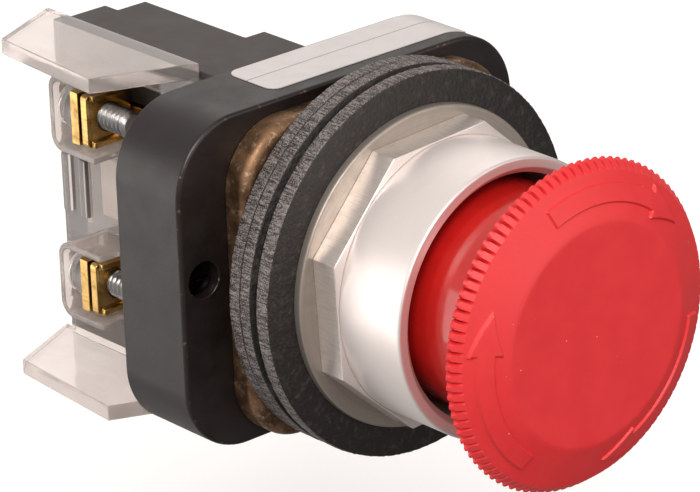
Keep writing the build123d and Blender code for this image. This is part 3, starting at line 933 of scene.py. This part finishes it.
def thread_tree() -> ShapeTree:
    """Cuts a screw thread into a turned shaft along Y."""
    shape = ShapeTree(
        "screw thread",
        {"Pitch": 0.0008, "Depth": 0.0003, "Outer Radius": 0.00175, "End": 0.036,
         "Axis X": 0.0, "Axis Z": 0.0, "Flank Slope": 2.6, "Crest Share": 0.15},
    )
    maths, given = shape.maths, shape.given
    across, along, up, radius, turn = polar_nodes(shape, given("Axis X"), given("Axis Z"))
    phase = maths("FRACT", maths("ADD", maths("DIVIDE", along, given("Pitch")), turn))
    wave = maths("MULTIPLY", maths("ABSOLUTE", maths("SUBTRACT", phase, 0.5)), given("Flank Slope"))
    wave = maths("MAXIMUM", maths("SUBTRACT", wave, given("Crest Share")), 0.0)
    groove = maths("MULTIPLY", maths("MINIMUM", wave, 1.0), given("Depth"))
    fitted = shape.shrink(radius, maths("SUBTRACT", given("Outer Radius"), groove))
    on_shaft = maths("LESS_THAN", along, given("End"))
    scale = maths("ADD", maths("MULTIPLY", on_shaft, fitted), maths("SUBTRACT", 1.0, on_shaft))
    x = maths("ADD", given("Axis X"), maths("MULTIPLY", across, scale))
    z = maths("ADD", given("Axis Z"), maths("MULTIPLY", up, scale))
    shape.close_moved(x, along, z)
    return shape


def coil_tree() -> ShapeTree:
    """Winds a compression spring along Y."""
    shape = ShapeTree(
        "coil spring",
        {"Turns": 4.0, "Coil Radius": 0.007, "Wire Radius": 0.0004, "Start": 0.0, "Length": 0.01,
         "Axis X": 0.0, "Steps": 40, "Sides": 14},
    )
    given = shape.given
    spiral = shape.add(
        "GeometryNodeCurveSpiral",
        {"Resolution": given("Steps"), "Rotations": given("Turns"), "Start Radius": given("Coil Radius"),
         "End Radius": given("Coil Radius"), "Height": given("Length")},
    )
    origin = shape.point(given("Axis X"), given("Start"), 0.0)
    upended = {"Geometry": spiral, "Translation": origin, "Rotation": (-math.pi / 2, 0.0, 0.0)}
    wire = {"Resolution": given("Sides"), "Radius": given("Wire Radius")}
    section = shape.add("GeometryNodeCurvePrimitiveCircle", wire)
    stood = shape.add("GeometryNodeTransform", upended)
    swept = {"Curve": stood, "Profile Curve": section, "Fill Caps": True}
    shape.close(shape.add("GeometryNodeCurveToMesh", swept))
    return shape


def rib_tree() -> ShapeTree:
    """Stands a row of upright, round-edged ribs along Y."""
    shape = ShapeTree(
        "upright ribs",
        {"Count": 2, "Spacing": 0.002, "Length": 0.012, "Width": 0.001, "Rise": 0.0006,
         "Start": (0.0, 0.0, 0.0), "Round Share": 0.3},
    )
    given = shape.given
    sides = {0: given("Rise"), 1: given("Width")}
    section = shape.add("GeometryNodeCurvePrimitiveQuadrilateral", sides)
    rounding = shape.maths("MULTIPLY", given("Rise"), given("Round Share"))
    corners = {"Curve": section, "Radius": rounding, "Count": 3}
    eased = shape.add("GeometryNodeFilletCurve", corners, mode="POLY")
    ends = {"Start": (0.0, 0.0, 0.0), "End": shape.point(0.0, 0.0, given("Length"))}
    spine = shape.add("GeometryNodeCurvePrimitiveLine", ends)
    swept = {"Curve": spine, "Profile Curve": eased, "Fill Caps": True}
    rib = shape.add("GeometryNodeCurveToMesh", swept)
    pace = shape.point(0.0, given("Spacing"), 0.0)
    line = {"Count": given("Count"), "Start Location": given("Start"), "Offset": pace}
    row = shape.add("GeometryNodeMeshLine", line)
    shape.close(shape.add("GeometryNodeInstanceOnPoints", {"Points": row, "Instance": rib}))
    return shape


# ---------------------------------------------------------------- sub-assemblies
@dataclass
class MushroomHead:
    """Red push button with its toothed rim, turn arrows and glossy neck."""

    disc_radius: float = 13.6
    face_radius: float = 18.9
    rim_radius: float = 20.0
    root_radius: float = 18.8
    y_disc: float = -36.75
    y_face: float = -34.5
    y_rim: float = -33.0
    y_back: float = -32.2
    y_seat: float = -31.2
    teeth: int = 100
    arrow_rise: float = 0.35
    arrow_tails: tuple[float, ...] = (111.0, -9.0, -129.0)
    arrow_spin: float = 77.0
    arrow_radius: float = 16.5
    arrow_half_width: float = 1.1
    arrow_barb: float = 2.0
    arrow_shaft_share: float = 0.76
    arrow_edge: float = 0.16
    neck_radius: float = 13.8
    neck_back: float = -18.2
    neck_wall: float = 2.2
    neck_web: float = 3.2
    boss_radius: float = 10.0
    boss_height: float = 2.0
    boss_play: float = 0.05
    stem_radius: float = 4.05
    stem_depth: float = 3.4
    neck_cuts: tuple[float, ...] = (0, 0.2, 0, 0, 0.5, 0.4, 0.5, 0)
    neck_spokes: int = 144
    flat_share: float = 0.3
    rim_cut: float = 0.5
    # rows of points from the front pole outward and round the rim: radii alone where the
    # surface is flat or a cone, and radius with fall where it rolls over
    disc_radii: tuple[float, ...] = (0.0, 3.0, 7.0, 10.5, 12.6, 13.2)
    disc_roll: tuple[Pair, ...] = ((13.45, 0.01), (13.65, 0.06), (13.85, 0.12))
    cone_rows: Triple = (14.0, 18.75, 0.115)
    edge_rows: tuple[float, float, int] = (18.9, 19.9, 11)
    rim_roll: tuple[Pair, ...] = (
        (19.97, -0.04), (20.0, 0.03), (19.93, 0.13), (19.7, 0.3), (19.4, 0.55)
    )
    back_radius: float = 19.1
    back_dish: Point = (17.0, -31.72)
    seat_radius: float = 14.8

    def outline(self) -> list[Point]:
        """Half section of the crown, from the front pole to the bottom of the stem's socket."""
        cone = (self.y_face - self.y_disc) / (self.face_radius - self.disc_radius)
        rim = (self.y_rim - self.y_face) / (self.rim_radius - self.face_radius)
        front = [(r, self.y_disc) for r in self.disc_radii]
        front += [(r, self.y_disc + fall) for r, fall in self.disc_roll]
        rows = [float(r) for r in np.arange(*self.cone_rows)]
        front += [(r, self.y_disc + (r - self.disc_radius) * cone) for r in rows]
        rows = [float(r) for r in np.linspace(*self.edge_rows)]
        edge = [(r, self.y_face + (r - self.face_radius) * rim) for r in rows]
        back = [(r, self.y_rim + fall) for r, fall in self.rim_roll]
        back += [(self.back_radius, self.y_back), self.back_dish]
        boss = self.boss_radius + self.boss_play
        floor = self.y_seat - self.boss_height - self.boss_play
        end = self.y_seat - self.stem_depth
        hidden = [(self.seat_radius, self.y_seat), (boss, self.y_seat), (boss, floor)]
        hidden += [(self.stem_radius, floor), (self.stem_radius, end), (0.0, end)]
        return front + edge + back + hidden

    def raise_arrows(self, radius: np.ndarray, along: np.ndarray, turn: np.ndarray) -> Grids:
        """Lifts the three turn arrows off the cone.

        Args:
            radius: distance of each point from the axis.
            along: its y.
            turn: its angle.

        Returns:
            The radius unchanged, and the new y.
        """
        middle = self.arrow_radius
        front = (along < self.y_face + 0.05) & (radius > self.disc_radius)
        lift = np.zeros_like(radius)
        for tail in self.arrow_tails:
            # degrees clockwise from the tail, and the same as a length
            gone = (tail - np.degrees(turn) + 20.0) % 360.0 - 20.0
            length = np.radians(gone) * middle
            shaft = math.radians(self.arrow_spin * self.arrow_shaft_share) * middle
            point = math.radians(self.arrow_spin) * middle
            side = np.abs(radius - middle)
            in_shaft = np.minimum.reduce([self.arrow_half_width - side, length, shaft + 0.4 - length])
            slope = self.arrow_barb / (point - shaft)
            in_point = np.minimum((point - length) * slope - side, length - shaft + 0.12 * side)
            inside = np.maximum(in_shaft, in_point * 0.9)
            ramp = np.clip(inside / self.arrow_edge, 0.0, 1.0)
            lift = np.maximum(lift, ramp * ramp * (3 - 2 * ramp))
        return radius, along - self.arrow_rise * lift * front

    def spokes(self) -> np.ndarray:
        """Section angles, with one at each edge and bottom of every notch."""
        shares = np.array([0.0, 0.15, 0.3, 0.475, 0.65, 0.825])
        return ((np.arange(self.teeth)[:, None] + shares[None, :]) * (2 * math.pi / self.teeth)).ravel()

    def build(self) -> None:
        """Builds the crown and the neck."""
        crown = turned("mushroom_head_crown", self.outline(), self.spokes(), self.raise_arrows)
        sizes = {
            "Teeth": float(self.teeth), "Root Radius": self.root_radius * MM,
            "Tip Radius": (self.rim_radius + self.rim_cut) * MM, "Flat Share": self.flat_share,
        }
        rim_tree().apply(crown, HEAD_RED, sizes, 28.0)
        place(crown, None, Body.HEAD, "mushroom_head")
        seat, back, wide = self.y_seat, self.neck_back, self.neck_radius
        step, top, inner = seat - self.boss_height, seat + self.neck_web, wide - self.neck_wall
        corners = [(self.stem_radius, step), (self.boss_radius, step), (self.boss_radius, seat)]
        corners += [(wide, seat), (wide, back), (inner, back), (inner, top), (self.stem_radius, top)]
        outline = rounded(corners, self.neck_cuts)
        neck = turned("head_neck_sleeve", outline, even_spokes(self.neck_spokes))
        place(neck, NECK_RED, Body.HEAD, "head_neck")


@dataclass
class ClampingStack:
    """Gaskets, spacer and washer between the panel seat and the nut."""

    bore_radius: float = 15.25
    gasket_radius: float = 23.85
    spacer_radius: float = 21.7
    washer_radius: float = 19.8
    layers: tuple[tuple[str, float, float], ...] = (
        ("rear_gasket", -1.9, 0.0), ("middle_gasket", -3.7, -1.9), ("front_gasket", -6.9, -4.8)
    )
    spacer: Pair = (-4.8, -3.7)
    washer: Pair = (-8.1, -6.9)
    washer_cuts: tuple[float, ...] = (0, 0.35, 0.2, 0)
    gasket_spokes: int = 360
    ring_spokes: int = 180
    corner_cut: float = 0.22
    bite: float = 0.09
    bite_band: float = 0.1
    seed: int = 7

    def ring(self, radius: float, front: float, back: float) -> list[Point]:
        """Square section from the bore to a radius, between two places along Y."""
        return [(self.bore_radius, front), (radius, front), (radius, back), (self.bore_radius, back)]

    def rough_rim(self, radius: np.ndarray, along: np.ndarray, turn: np.ndarray) -> Grids:
        """Roughens the cut edge a little, always inward.

        Args:
            radius: distance of each point from the axis.
            along: its y.
            turn: its angle; not used.

        Returns:
            The new radius, and y unchanged.
        """
        bite = np.random.default_rng(self.seed).random(radius.shape) * self.bite
        return np.where(radius > self.gasket_radius - self.bite_band, radius - bite, radius), along

    def build(self) -> None:
        """Builds the rings."""
        for name, front, back in self.layers:
            heights = np.linspace(front + self.corner_cut, back - self.corner_cut, 7)
            rim = [(self.gasket_radius, float(y)) for y in heights]
            inset = self.gasket_radius - self.corner_cut
            front_edge, *_, back_edge = self.ring(inset, front, back)
            corners = [front_edge, (inset, front), *rim, (inset, back), back_edge]
            spokes = even_spokes(self.gasket_spokes)
            ring = turned(f"{name}_ring", corners, spokes, self.rough_rim, angle=60.0)
            place(ring, CUT_RUBBER, Body.OPERATOR, name)
            self.seed += 1
        corners = self.ring(self.spacer_radius, *self.spacer)
        spacer = turned("gasket_spacer_ring", corners, even_spokes(self.ring_spokes))
        place(spacer, DARK_RUBBER, Body.OPERATOR, "gasket_spacer")
        corners = rounded(self.ring(self.washer_radius, *self.washer), self.washer_cuts)
        washer = turned("thrust_washer_ring", corners, even_spokes(self.ring_spokes))
        place(washer, DULL_ZINC, Body.OPERATOR, "thrust_washer")


@dataclass
class RingNut:
    """Octagon nut with its round guard collar, in one piece."""

    corner_radius: float = 18.75
    first_corner: float = 25.3
    bore_radius: float = 15.05
    collar_radius: float = 17.15
    y_back: float = -8.1
    y_face: float = -11.9
    y_rim: float = -22.1
    bevel: float = 0.8
    sides: int = 8
    spans: int = 20
    flats_from: float = 17.6
    milled_from: float = 17.2
    # the groove at the collar's foot, from the collar's radius and the octagon's face
    groove: tuple[Point, ...] = ((0.1, 0.0), (-0.06, 0.14), (-0.02, -0.1), (0.0, -0.3), (0.0, -0.6))
    cuts: tuple[float, ...] = (0, 0.12, 0.14, 0, 0, 0, 0, 0, 0, 0.55, 0.12, 0.15)

    def octagon(self, radius: np.ndarray, along: np.ndarray, turn: np.ndarray) -> Grids:
        """Pulls the widest points in to the flats of the octagon.

        Args:
            radius: distance of each point from the axis.
            along: its y.
            turn: its angle.

        Returns:
            The new radius, and y unchanged.
        """
        flat = self.corner_radius * math.cos(math.pi / self.sides)
        half = 180.0 / self.sides
        off = (np.degrees(turn) - self.first_corner + half + half) % (2 * half) - half
        reach = flat / np.cos(np.radians(off))
        return np.where(radius > self.flats_from, reach + radius - self.corner_radius, radius), along

    def is_milled(self, face: bpy.types.MeshPolygon) -> int:
        """1 for a face on the sides of the octagon, else 0."""
        outside = math.hypot(face.center.x, face.center.z) > self.milled_from * MM
        return int(outside and abs(face.normal.y) < 0.5 and face.center.y > self.y_face * MM)

    def build(self) -> None:
        """Builds the nut."""
        spokes = even_spokes(self.sides * self.spans, math.radians(self.first_corner))
        wide, bore = self.collar_radius, self.bore_radius
        corners = [(bore, self.y_back)]
        corners += [(self.corner_radius, self.y_back), (self.corner_radius, self.y_face)]
        corners += [(wide + out, self.y_face + along) for out, along in self.groove]
        corners += [(wide, self.y_rim + self.bevel), (wide, self.y_rim)]
        corners += [(bore + self.bevel, self.y_rim), (bore, self.y_rim + self.bevel)]
        nut = turned("ring_nut_body", rounded(corners, self.cuts), spokes, self.octagon, angle=30.0)
        nut = keep_flat(nut)
        nut.data.materials.append(material_of(SATIN_ALUMINIUM))
        nut.data.materials.append(material_of(MILLED_ALUMINIUM))
        milled = [self.is_milled(face) for face in nut.data.polygons]
        nut.data.polygons.foreach_set("material_index", milled)
        place(nut, None, Body.OPERATOR, "ring_nut")


@dataclass(frozen=True)
class EasedNode:
    """A frame node shown as a copy with its edges eased."""

    node: str
    edge: float
    finish: Finish
    body: Body = Body.OPERATOR

    def build(self) -> None:
        """Makes the copy."""
        place(eased_copy(self.node, self.edge), self.finish, self.body, self.node)


@dataclass
class OperatorBody:
    """Mounting bushing, housing, its cover and screws, and the label."""

    flange_edge: float = 0.12
    housing_edge: float = 0.16
    rounding_back: float = 3.95
    slopes: Pair = (0.1, 0.97)

    def is_rounded(self, face: bpy.types.MeshPolygon) -> int:
        """1 for a face on the rounding behind the flange, else 0."""
        least, most = self.slopes
        return int(face.center.y < self.rounding_back * MM and least < abs(face.normal.y) < most)

    def build(self) -> None:
        """Builds the body's pieces."""
        EasedNode("mounting_bushing", self.flange_edge, BRONZE_CASTING).build()
        housing = eased_copy("operator_housing", self.housing_edge)
        dress(housing, HOUSING_BLACK)
        housing.data.materials.append(material_of(HOUSING_EDGE))
        edges = [self.is_rounded(face) for face in housing.data.polygons]
        housing.data.polygons.foreach_set("material_index", edges)
        place(housing, None, Body.OPERATOR, "operator_housing")
        EasedNode("housing_cover", self.housing_edge, HOUSING_BLACK).build()
        EasedNode("housing_screws", 0.1, BLACKENED_STEEL).build()
        EasedNode("label_plate", 0.03, LABEL_WHITE).build()


@dataclass
class Terminal:
    """Clamp, strip and screw of one terminal."""

    side: str
    z: float
    screw_body: Body
    clamp_body: Body
    x: float = -14.3
    tip: float = 28.3
    seat: float = 36.2
    radius: float = 1.75
    head_radius: float = 3.1
    head_height: float = 2.0
    pitch: float = 0.8
    depth: float = 0.42
    taper: Pair = (0.45, 0.35)
    ring_spacing: float = 0.08
    spokes: int = 48
    slot: Triple = (0.9, 1.8, 9.0)
    thread_gap: float = 0.2

    def build_screw(self, thread: ShapeTree) -> None:
        """Builds the threaded screw with its slotted head.

        Args:
            thread: the tree that cuts the thread.
        """
        inset, length = self.taper
        heights = np.arange(self.tip + length, self.seat - 0.01, self.ring_spacing)
        rows = [(self.radius, float(y)) for y in heights]
        back = self.seat + self.head_height
        head = rounded([(self.head_radius, self.seat), (self.head_radius, back)], [0.15, 0.4], 3)
        corners = [(0.0, self.tip), (self.radius - inset, self.tip), *rows, (self.radius, self.seat)]
        corners += [*head, (0.0, back)]
        name = f"{self.side}_terminal_screw"
        screw = turned(f"{name}_cut", corners, even_spokes(self.spokes), centre=(self.x, self.z))
        slot = bmesh.new()
        stretch = Matrix.Diagonal((*(side * MM for side in self.slot), 1.0))
        shape = Matrix.Translation(Vector((self.x, back, self.z)) * MM) @ stretch
        bmesh.ops.create_cube(slot, size=1.0, matrix=shape)
        cutter_mesh = bpy.data.meshes.new("slot_cutter")
        slot.to_mesh(cutter_mesh)
        slot.free()
        cutter = add_piece("slot_cutter", cutter_mesh)
        cut = screw.modifiers.new("slot", "BOOLEAN")
        cut.operation, cut.solver, cut.object = "DIFFERENCE", "EXACT", cutter
        settle(screw)
        bpy.data.objects.remove(cutter)
        sizes = {
            "Pitch": self.pitch, "Depth": self.depth, "Outer Radius": self.radius,
            "End": self.seat - self.thread_gap, "Axis X": self.x, "Axis Z": self.z,
        }
        thread.apply(screw, SCREW_STEEL, {label: size * MM for label, size in sizes.items()}, 40.0)
        place(screw, None, self.screw_body, name)

    def build(self, thread: ShapeTree) -> None:
        """Builds the terminal's pieces.

        Args:
            thread: the tree that cuts the thread.
        """
        EasedNode(f"{self.side}_terminal_clamp", 0.12, BRIGHT_BRASS, self.clamp_body).build()
        EasedNode(f"{self.side}_contact_strip", 0.1, BRIGHT_BRASS).build()
        self.build_screw(thread)


@dataclass(frozen=True)
class RibRow:
    """One row of ribs inside the clear cover, millimetres."""

    name: str
    count: int
    spacing: float
    length: float
    width: float
    first: Triple


@dataclass
class ContactBlock:
    """Contact block with its clear cover, contacts and terminals."""

    shells: tuple[EasedNode, ...] = (
        EasedNode("block_base", 0.15, BLOCK_BLACK),
        EasedNode("block_cover", 0.12, CLEAR_COVER),
        EasedNode("block_screws", 0.1, SCREW_STEEL),
        EasedNode("contact_plunger", 0.15, WHITE_NYLON, Body.PLUNGER),
        EasedNode("contact_bridge", 0.08, BRIGHT_BRASS, Body.PLUNGER),
    )
    terminals: list[Terminal] = field(
        default_factory=lambda: [
            Terminal("upper", 12.2, Body.UPPER_SCREW, Body.UPPER_CLAMP),
            Terminal("lower", -9.8, Body.LOWER_SCREW, Body.LOWER_CLAMP),
        ]
    )
    rib_rise: float = 0.6
    rib_rows: tuple[RibRow, ...] = (
        RibRow("cover_guide_ribs", 2, 2.3, 12.6, 1.3, (-10.45, 42.3, -5.1)),
        RibRow("cover_guide_pad", 1, 1.0, 7.6, 7.4, (-10.45, 35.6, -3.2)),
        RibRow("cover_stop_ribs", 2, 9.5, 2.0, 1.0, (-10.45, 30.2, 5.4)),
    )

    def build_ribs(self) -> None:
        """Stands the rows of ribs on the inner face of the clear cover."""
        tree = rib_tree()
        for row in self.rib_rows:
            ribs = add_piece(row.name, bpy.data.meshes.new(row.name))
            sizes = {
                "Count": row.count, "Spacing": row.spacing * MM, "Length": row.length * MM,
                "Width": row.width * MM, "Rise": self.rib_rise * MM,
                "Start": tuple(c * MM for c in row.first),
            }
            tree.apply(ribs, WHITE_NYLON, sizes)
            place(ribs, None, Body.OPERATOR)

    def build(self) -> None:
        """Builds the block's pieces."""
        self.build_ribs()
        for shell in self.shells:
            shell.build()
        thread = thread_tree()
        for terminal in self.terminals:
            terminal.build(thread)


@dataclass(frozen=True)
class Spring:
    """One compression spring."""

    node: str
    body: Body
    x: float
    start: float
    end: float
    coil_radius: float
    wire_radius: float
    turns: float
    kept_length: float = 1.0


@dataclass
class InnerParts:
    """Pieces inside the operator and the block."""

    springs: tuple[Spring, ...] = (
        Spring("return_spring", Body.OPERATOR, 0.0, -9.2, 0.7, 7.0, 0.45, 4.0, 0.495),
        Spring("plunger_spring", Body.OPERATOR, -5.65, 30.6, 42.4, 2.1, 0.3, 7.0, 0.576),
        Spring("contact_spring", Body.PLUNGER, -5.65, 26.5, 29.8, 1.3, 0.22, 4.0),
    )
    kept: tuple[tuple[str, Finish], ...] = (
        ("operator_stem", TURNED_STEEL),
        ("latch_pin", SPRING_WIRE),
        ("latch_sleeve", DIE_CAST_ZINC),
        ("stem_clip", SPRING_WIRE),
        ("stem_retainer", DULL_ZINC),
        ("stem_seal", DARK_RUBBER),
        ("stem_bush", SINTERED_BRONZE),
        ("actuator_plate", DIE_CAST_ZINC),
    )

    def build(self) -> None:
        """Builds the springs and dresses the rest."""
        coil = coil_tree()
        for spring in self.springs:
            piece = add_piece(f"{spring.node}_coil", bpy.data.meshes.new(spring.node))
            length = spring.end - spring.start - 2 * spring.wire_radius
            sizes = {
                "Turns": spring.turns, "Coil Radius": spring.coil_radius * MM,
                "Wire Radius": spring.wire_radius * MM, "Length": length * MM,
                "Start": (spring.start + spring.wire_radius) * MM, "Axis X": spring.x * MM,
            }
            coil.apply(piece, SPRING_WIRE, sizes)
            place(piece, None, spring.body, spring.node)
            if spring.kept_length < 1.0:
                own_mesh(piece)
        for node, finish in self.kept:
            keep_node(node, finish)


@dataclass(frozen=True)
class Panel:
    """One soft panel light."""

    name: str
    azimuth: float
    elevation: float
    width: float
    height: float
    distance: float
    power: float


@dataclass
class Studio:
    """Floor, soft lights and camera."""

    floor_z: float = -0.075
    floor_glow: float = 0.18
    azimuth: float = -40.72
    elevation: float = 22.41
    roll: float = -2.05
    distance: float = 0.50726
    aim: Triple = (-0.016666, -0.013621, 0.009252)
    lens: float = 229.1
    sensor: float = 36.0
    clip: Pair = (0.01, 20.0)
    floor_half: float = 4.0
    floor_tones: tuple[Colour, Colour] = ((0.93, 0.93, 0.93), (0.95, 0.95, 0.95))
    light_colour: Colour = (1.0, 0.945, 0.915)
    sky_dark: float = 0.14
    sky_bright: float = 0.75
    sky_towards: Triple = (-0.60, 0.62, 0.50)
    sky_span: Pair = (-0.9, 0.7)
    panels: tuple[Panel, ...] = (
        Panel("side_light", -139.0, -4.0, 0.8, 0.6, 0.9, 2.6),
        Panel("key_light", -44.0, 42.0, 0.6, 0.6, 1.0, 8.0),
        Panel("fill_light", 16.0, 14.0, 1.2, 1.2, 1.2, 6.0),
        Panel("rear_light", 142.0, 32.0, 0.7, 0.5, 1.0, 0.8),
    )

    def direction(self, azimuth: float, elevation: float) -> Vector:
        """Unit vector from the object towards a place around it."""
        a, e = math.radians(azimuth), math.radians(elevation)
        return Vector((math.sin(a) * math.cos(e), -math.cos(a) * math.cos(e), math.sin(e)))

    def build_camera(self) -> None:
        """Places the camera."""
        back = self.direction(self.azimuth, self.elevation)
        turned_by = math.radians(self.azimuth)
        level = Vector((math.cos(turned_by), math.sin(turned_by), 0.0))
        rise = back.cross(level)
        c, s = math.cos(math.radians(self.roll)), math.sin(math.radians(self.roll))
        right, up = c * level + s * rise, c * rise - s * level
        camera = bpy.data.objects.new("camera", bpy.data.cameras.new("camera"))
        bpy.context.scene.collection.objects.link(camera)
        camera.data.lens = self.lens
        camera.data.sensor_width = self.sensor
        camera.data.clip_start, camera.data.clip_end = self.clip
        turn = Matrix((right, up, back)).transposed().to_4x4()
        camera.matrix_world = Matrix.Translation(Vector(self.aim) + back * self.distance) @ turn
        bpy.context.scene.camera = camera

    def build_lights(self) -> None:
        """Places the panel lights and the sky, which is darker to the front right."""
        for panel in self.panels:
            lamp = bpy.data.lights.new(panel.name, "AREA")
            lamp.shape = "RECTANGLE"
            lamp.size, lamp.size_y = panel.width, panel.height
            lamp.energy = panel.power
            lamp.color = self.light_colour
            light = bpy.data.objects.new(panel.name, lamp)
            bpy.context.scene.collection.objects.link(light)
            away = self.direction(panel.azimuth, panel.elevation)
            light.location = away * panel.distance
            light.rotation_mode = "QUATERNION"
            light.rotation_quaternion = away.to_track_quat("Z", "Y")
        world = bpy.data.worlds.new("studio")
        world.use_nodes = True
        tree = world.node_tree
        towards = tree.nodes.new("ShaderNodeTexCoord")
        dot = tree.nodes.new("ShaderNodeVectorMath")
        dot.operation = "DOT_PRODUCT"
        dot.inputs[1].default_value = self.sky_towards
        level = tree.nodes.new("ShaderNodeMapRange")
        span = (*self.sky_span, self.sky_dark, self.sky_bright)
        for label, value in zip(("From Min", "From Max", "To Min", "To Max"), span):
            level.inputs[label].default_value = value
        sky = tree.nodes["Background"]
        sky.inputs[0].default_value = (*self.light_colour, 1.0)
        tree.links.new(towards.outputs["Generated"], dot.inputs[0])
        tree.links.new(dot.outputs["Value"], level.inputs["Value"])
        tree.links.new(level.outputs[0], sky.inputs[1])
        bpy.context.scene.world = world
        bpy.context.scene.view_settings.view_transform = "Standard"

    def build_floor(self) -> None:
        """Lays the pale floor."""
        work = bmesh.new()
        level = Matrix.Translation((0, 0, self.floor_z))
        bmesh.ops.create_grid(work, x_segments=8, y_segments=8, size=self.floor_half, matrix=level)
        mesh = bpy.data.meshes.new("floor")
        work.to_mesh(mesh)
        work.free()
        floor = add_piece("floor", mesh)
        graph = Graph("pale_floor")
        tone = graph.blend(graph.step(graph.noise(60.0), 0.3, 0.7), *self.floor_tones)
        glow = {"Emission_Color": (1.0, 1.0, 1.0, 1.0), "Emission_Strength": self.floor_glow}
        floor.data.materials.append(graph.finish(tone, 0.8, **glow))
        floor.visible_diffuse = floor.visible_glossy = floor.visible_shadow = False

    def build(self) -> None:
        """Builds the studio."""
        self.build_camera()
        self.build_lights()
        self.build_floor()


def main() -> None:
    """Builds the object and the studio."""
    logging.basicConfig(level=logging.INFO, format="%(name)s %(message)s")
    kinds = (MushroomHead, ClampingStack, RingNut, OperatorBody, ContactBlock, InnerParts, Studio)
    for kind in kinds:
        kind().build()
        log.info("built %s", kind.__name__)


if __name__ == "__main__":
    main()
